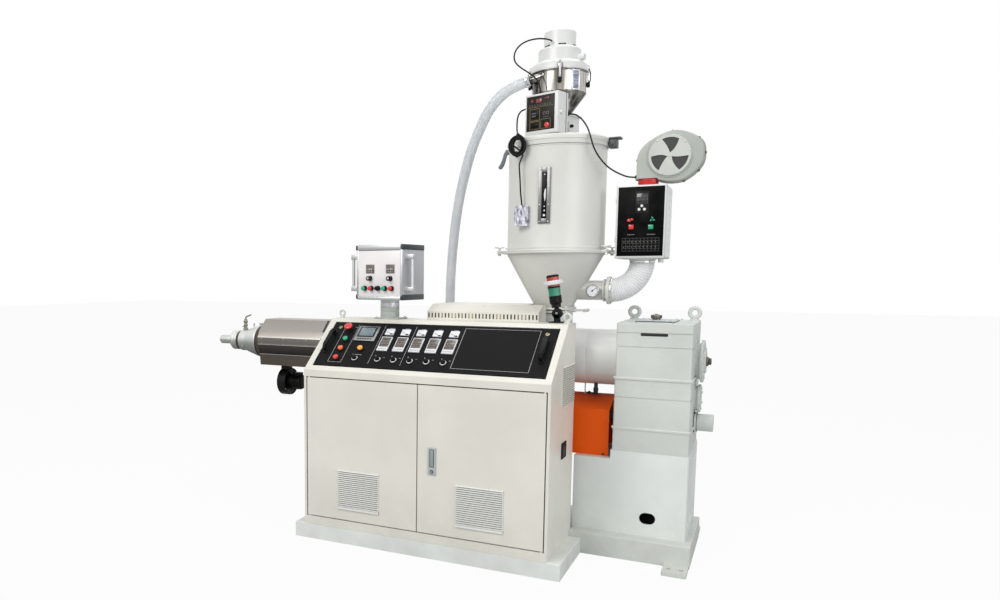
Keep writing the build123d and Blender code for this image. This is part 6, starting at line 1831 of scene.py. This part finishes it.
# %% Cooling blowers
fan_places = [-1775 + 320 * i for i in range(4)]
blower_black = moulded("blower_black", "black_plastic", (0.006, 0.006, 0.005), 0.26, 120, 0.0003,
                       Specular_IOR_Level=0.12)
z = 742
for x in fan_places:
    turned(rounded([(0, 0), (78, 0), (88, 6), (88, 64), (86, 66), (80, 66), (79, 60), (60, 58), (58, 52), (0, 52)],
                   3), (x, 0, z), RIGHT, 72)
    turned(rounded([(48, 52), (48, 146), (40, 156), (0, 156)], 4), (x, 0, z), RIGHT, 48)
    for k in range(9):
        turned([(47.5, 70 + 8 * k), (50, 71 + 8 * k), (50, 73 + 8 * k), (47.5, 74 + 8 * k)], (x, 0, z), RIGHT, 48)
    slab((x + 6, -34, z + 20), (x + 62, 18, 860.7), 3)
    slab((x + 2, -44, 850), (x + 68, 22, 860), 2)
    slab((x + 90, -26, z + 40), (x + 140, 26, z + 62), 3)
to_object("cooling_fans", blower_black, replaces=["cooling_blowers"])
spots = facing([spot for x in fan_places for spot in around(x + 65.5, 0, z, 84, range(-150, 31, 45))], RIGHT, UP)
repeated("cooling_fan_screws", small_screw, spots, galvanised, size=0.9)
print("barrel end ready")
# %% [markdown]
# ## Signal tower
# Two ribbed lenses with a pale ring between them, on a black socket that tilts on its foot.

# %% Tower pieces
tower = at(94, -306, 1242) @ spun(-9, "Y")
for outline, soft, steps in (([(24, 44), (26, 50), (31, 54), (31, 84), (30, 86), (0, 86)], 2, 48),
                             ([(0, 186), (32, 186), (32, 193), (27, 198), (0, 198)], 2, 48),
                             ([(0, 130), (32, 130), (32, 138), (0, 138)], 1.5, 48),
                             ([(0, 84), (32, 84), (32, 90), (0, 90)], 1.5, 48),
                             ([(0, 30), (24, 30), (24, 46), (0, 46)], 2, 40)):
    turned(rounded(outline, soft), steps=steps, turn=tower)
slab((-11, -5, 0), (11, 5, 44), 2, tower)
turned(rounded([(0, -5), (20, -5), (20, 5), (0, 5)], 1), axis=BACK, steps=36, turn=tower)
to_object("tower_black_parts", gloss_black, "signal_tower", replaces=["signal_lamp"])
print("tower's black parts ready")


def lens(low, high, ribs=24):
    """A ribbed lens between two heights."""
    line = [(29.2 + 0.9 * cos(t * ribs), t) for t in (tau * k / (ribs * 4) for k in range(ribs * 4))]
    skin([[bench.verts.new(tower @ (Vector((r * cos(t), r * sin(t), h)) * mm)) for r, t in line]
          for h in (low, (low + high) / 2, high)])


lens(89, 131)
to_object("tower_green_lens", green_lens, "signal_tower", smooth_angle=60)
lens(137, 187)
to_object("tower_red_lens", red_lens, "signal_tower", smooth_angle=60)
turned(rounded([(29, 146), (50, 146), (50, 168), (29, 168)], 5), turn=tower)
to_object("tower_white_ring", white_plastic, "signal_tower")

# %% Tower foot
slab((56, -336, 1194), (132, -276, 1201), 2.5)
for y in (-321, -300):
    turned(rounded([(0, 0), (26, 0), (26, 9), (0, 9)], 1.2), (94, y, 1242), BACK, 48)
    slab((80, y, 1198), (108, y + 9, 1242), 1.5)
to_object("tower_foot_parts", gloss_black, replaces=["tower_foot"])
turned(rounded([(0, 4), (6, 4), (7, 0)], 1.0), (94, -321, 1242), FRONT, 28)
slab((88.5, -327.5, 1241), (99.5, -325.5, 1243), 0.3)
to_object("tower_pivot_screw", dial_steel)
spots = facing([(x, y, 1201) for x in (64, 124) for y in (-328, -284)], UP)
repeated("tower_foot_screws", small_screw, spots, galvanised)

# %% [markdown]
# ## Hole in the frame
# The frame keeps its CAD shape. Its slotted hole gets a cut edge and a black lining of painted shade,
# for the shadow that the real hole's depth holds.


# %% Slotted hole
def slot_line(half_length, half_height, steps=28):
    """A round-ended slot outline about its middle."""
    right = [(half_length - half_height + half_height * cos(a), half_height * sin(a))
             for a in (radians(-90 + 180 * k / steps) for k in range(steps + 1))]
    return right + [(-x, -y) for x, y in right]


def hole_skin(*lines):
    """Joins slot outlines at different depths, and gives back their corners."""
    place = front_face(557, -222, 205)
    rings = [[bench.verts.new(place @ (Vector((x, y, z)) * mm)) for x, y in line] for line, z in lines]
    skin(rings, ends=False)
    return rings


edge, lining = slot_line(40.5, 30.5), slot_line(38.4, 28.4)
hole_skin((edge, -1), (edge, 0.7), (lining, 0.7), (lining, -2))
to_object("frame_hole_rim", moulded("cut_edge", "grey_paint", (0.60, 0.63, 0.60), 0.4), smooth_angle=25)
# The black lining down the hole is painted shade.
bench.faces.new(hole_skin((lining, 0.4), (lining, -40))[-1])
to_object("frame_hole_dark", moulded("hole_painted_shade", "black_plastic", (0.004, 0.004, 0.004), 0.9, Specular_IOR_Level=0.0))
print("slot outline of", len(edge), "points")

# %% The three leads
print("three leads drawn")
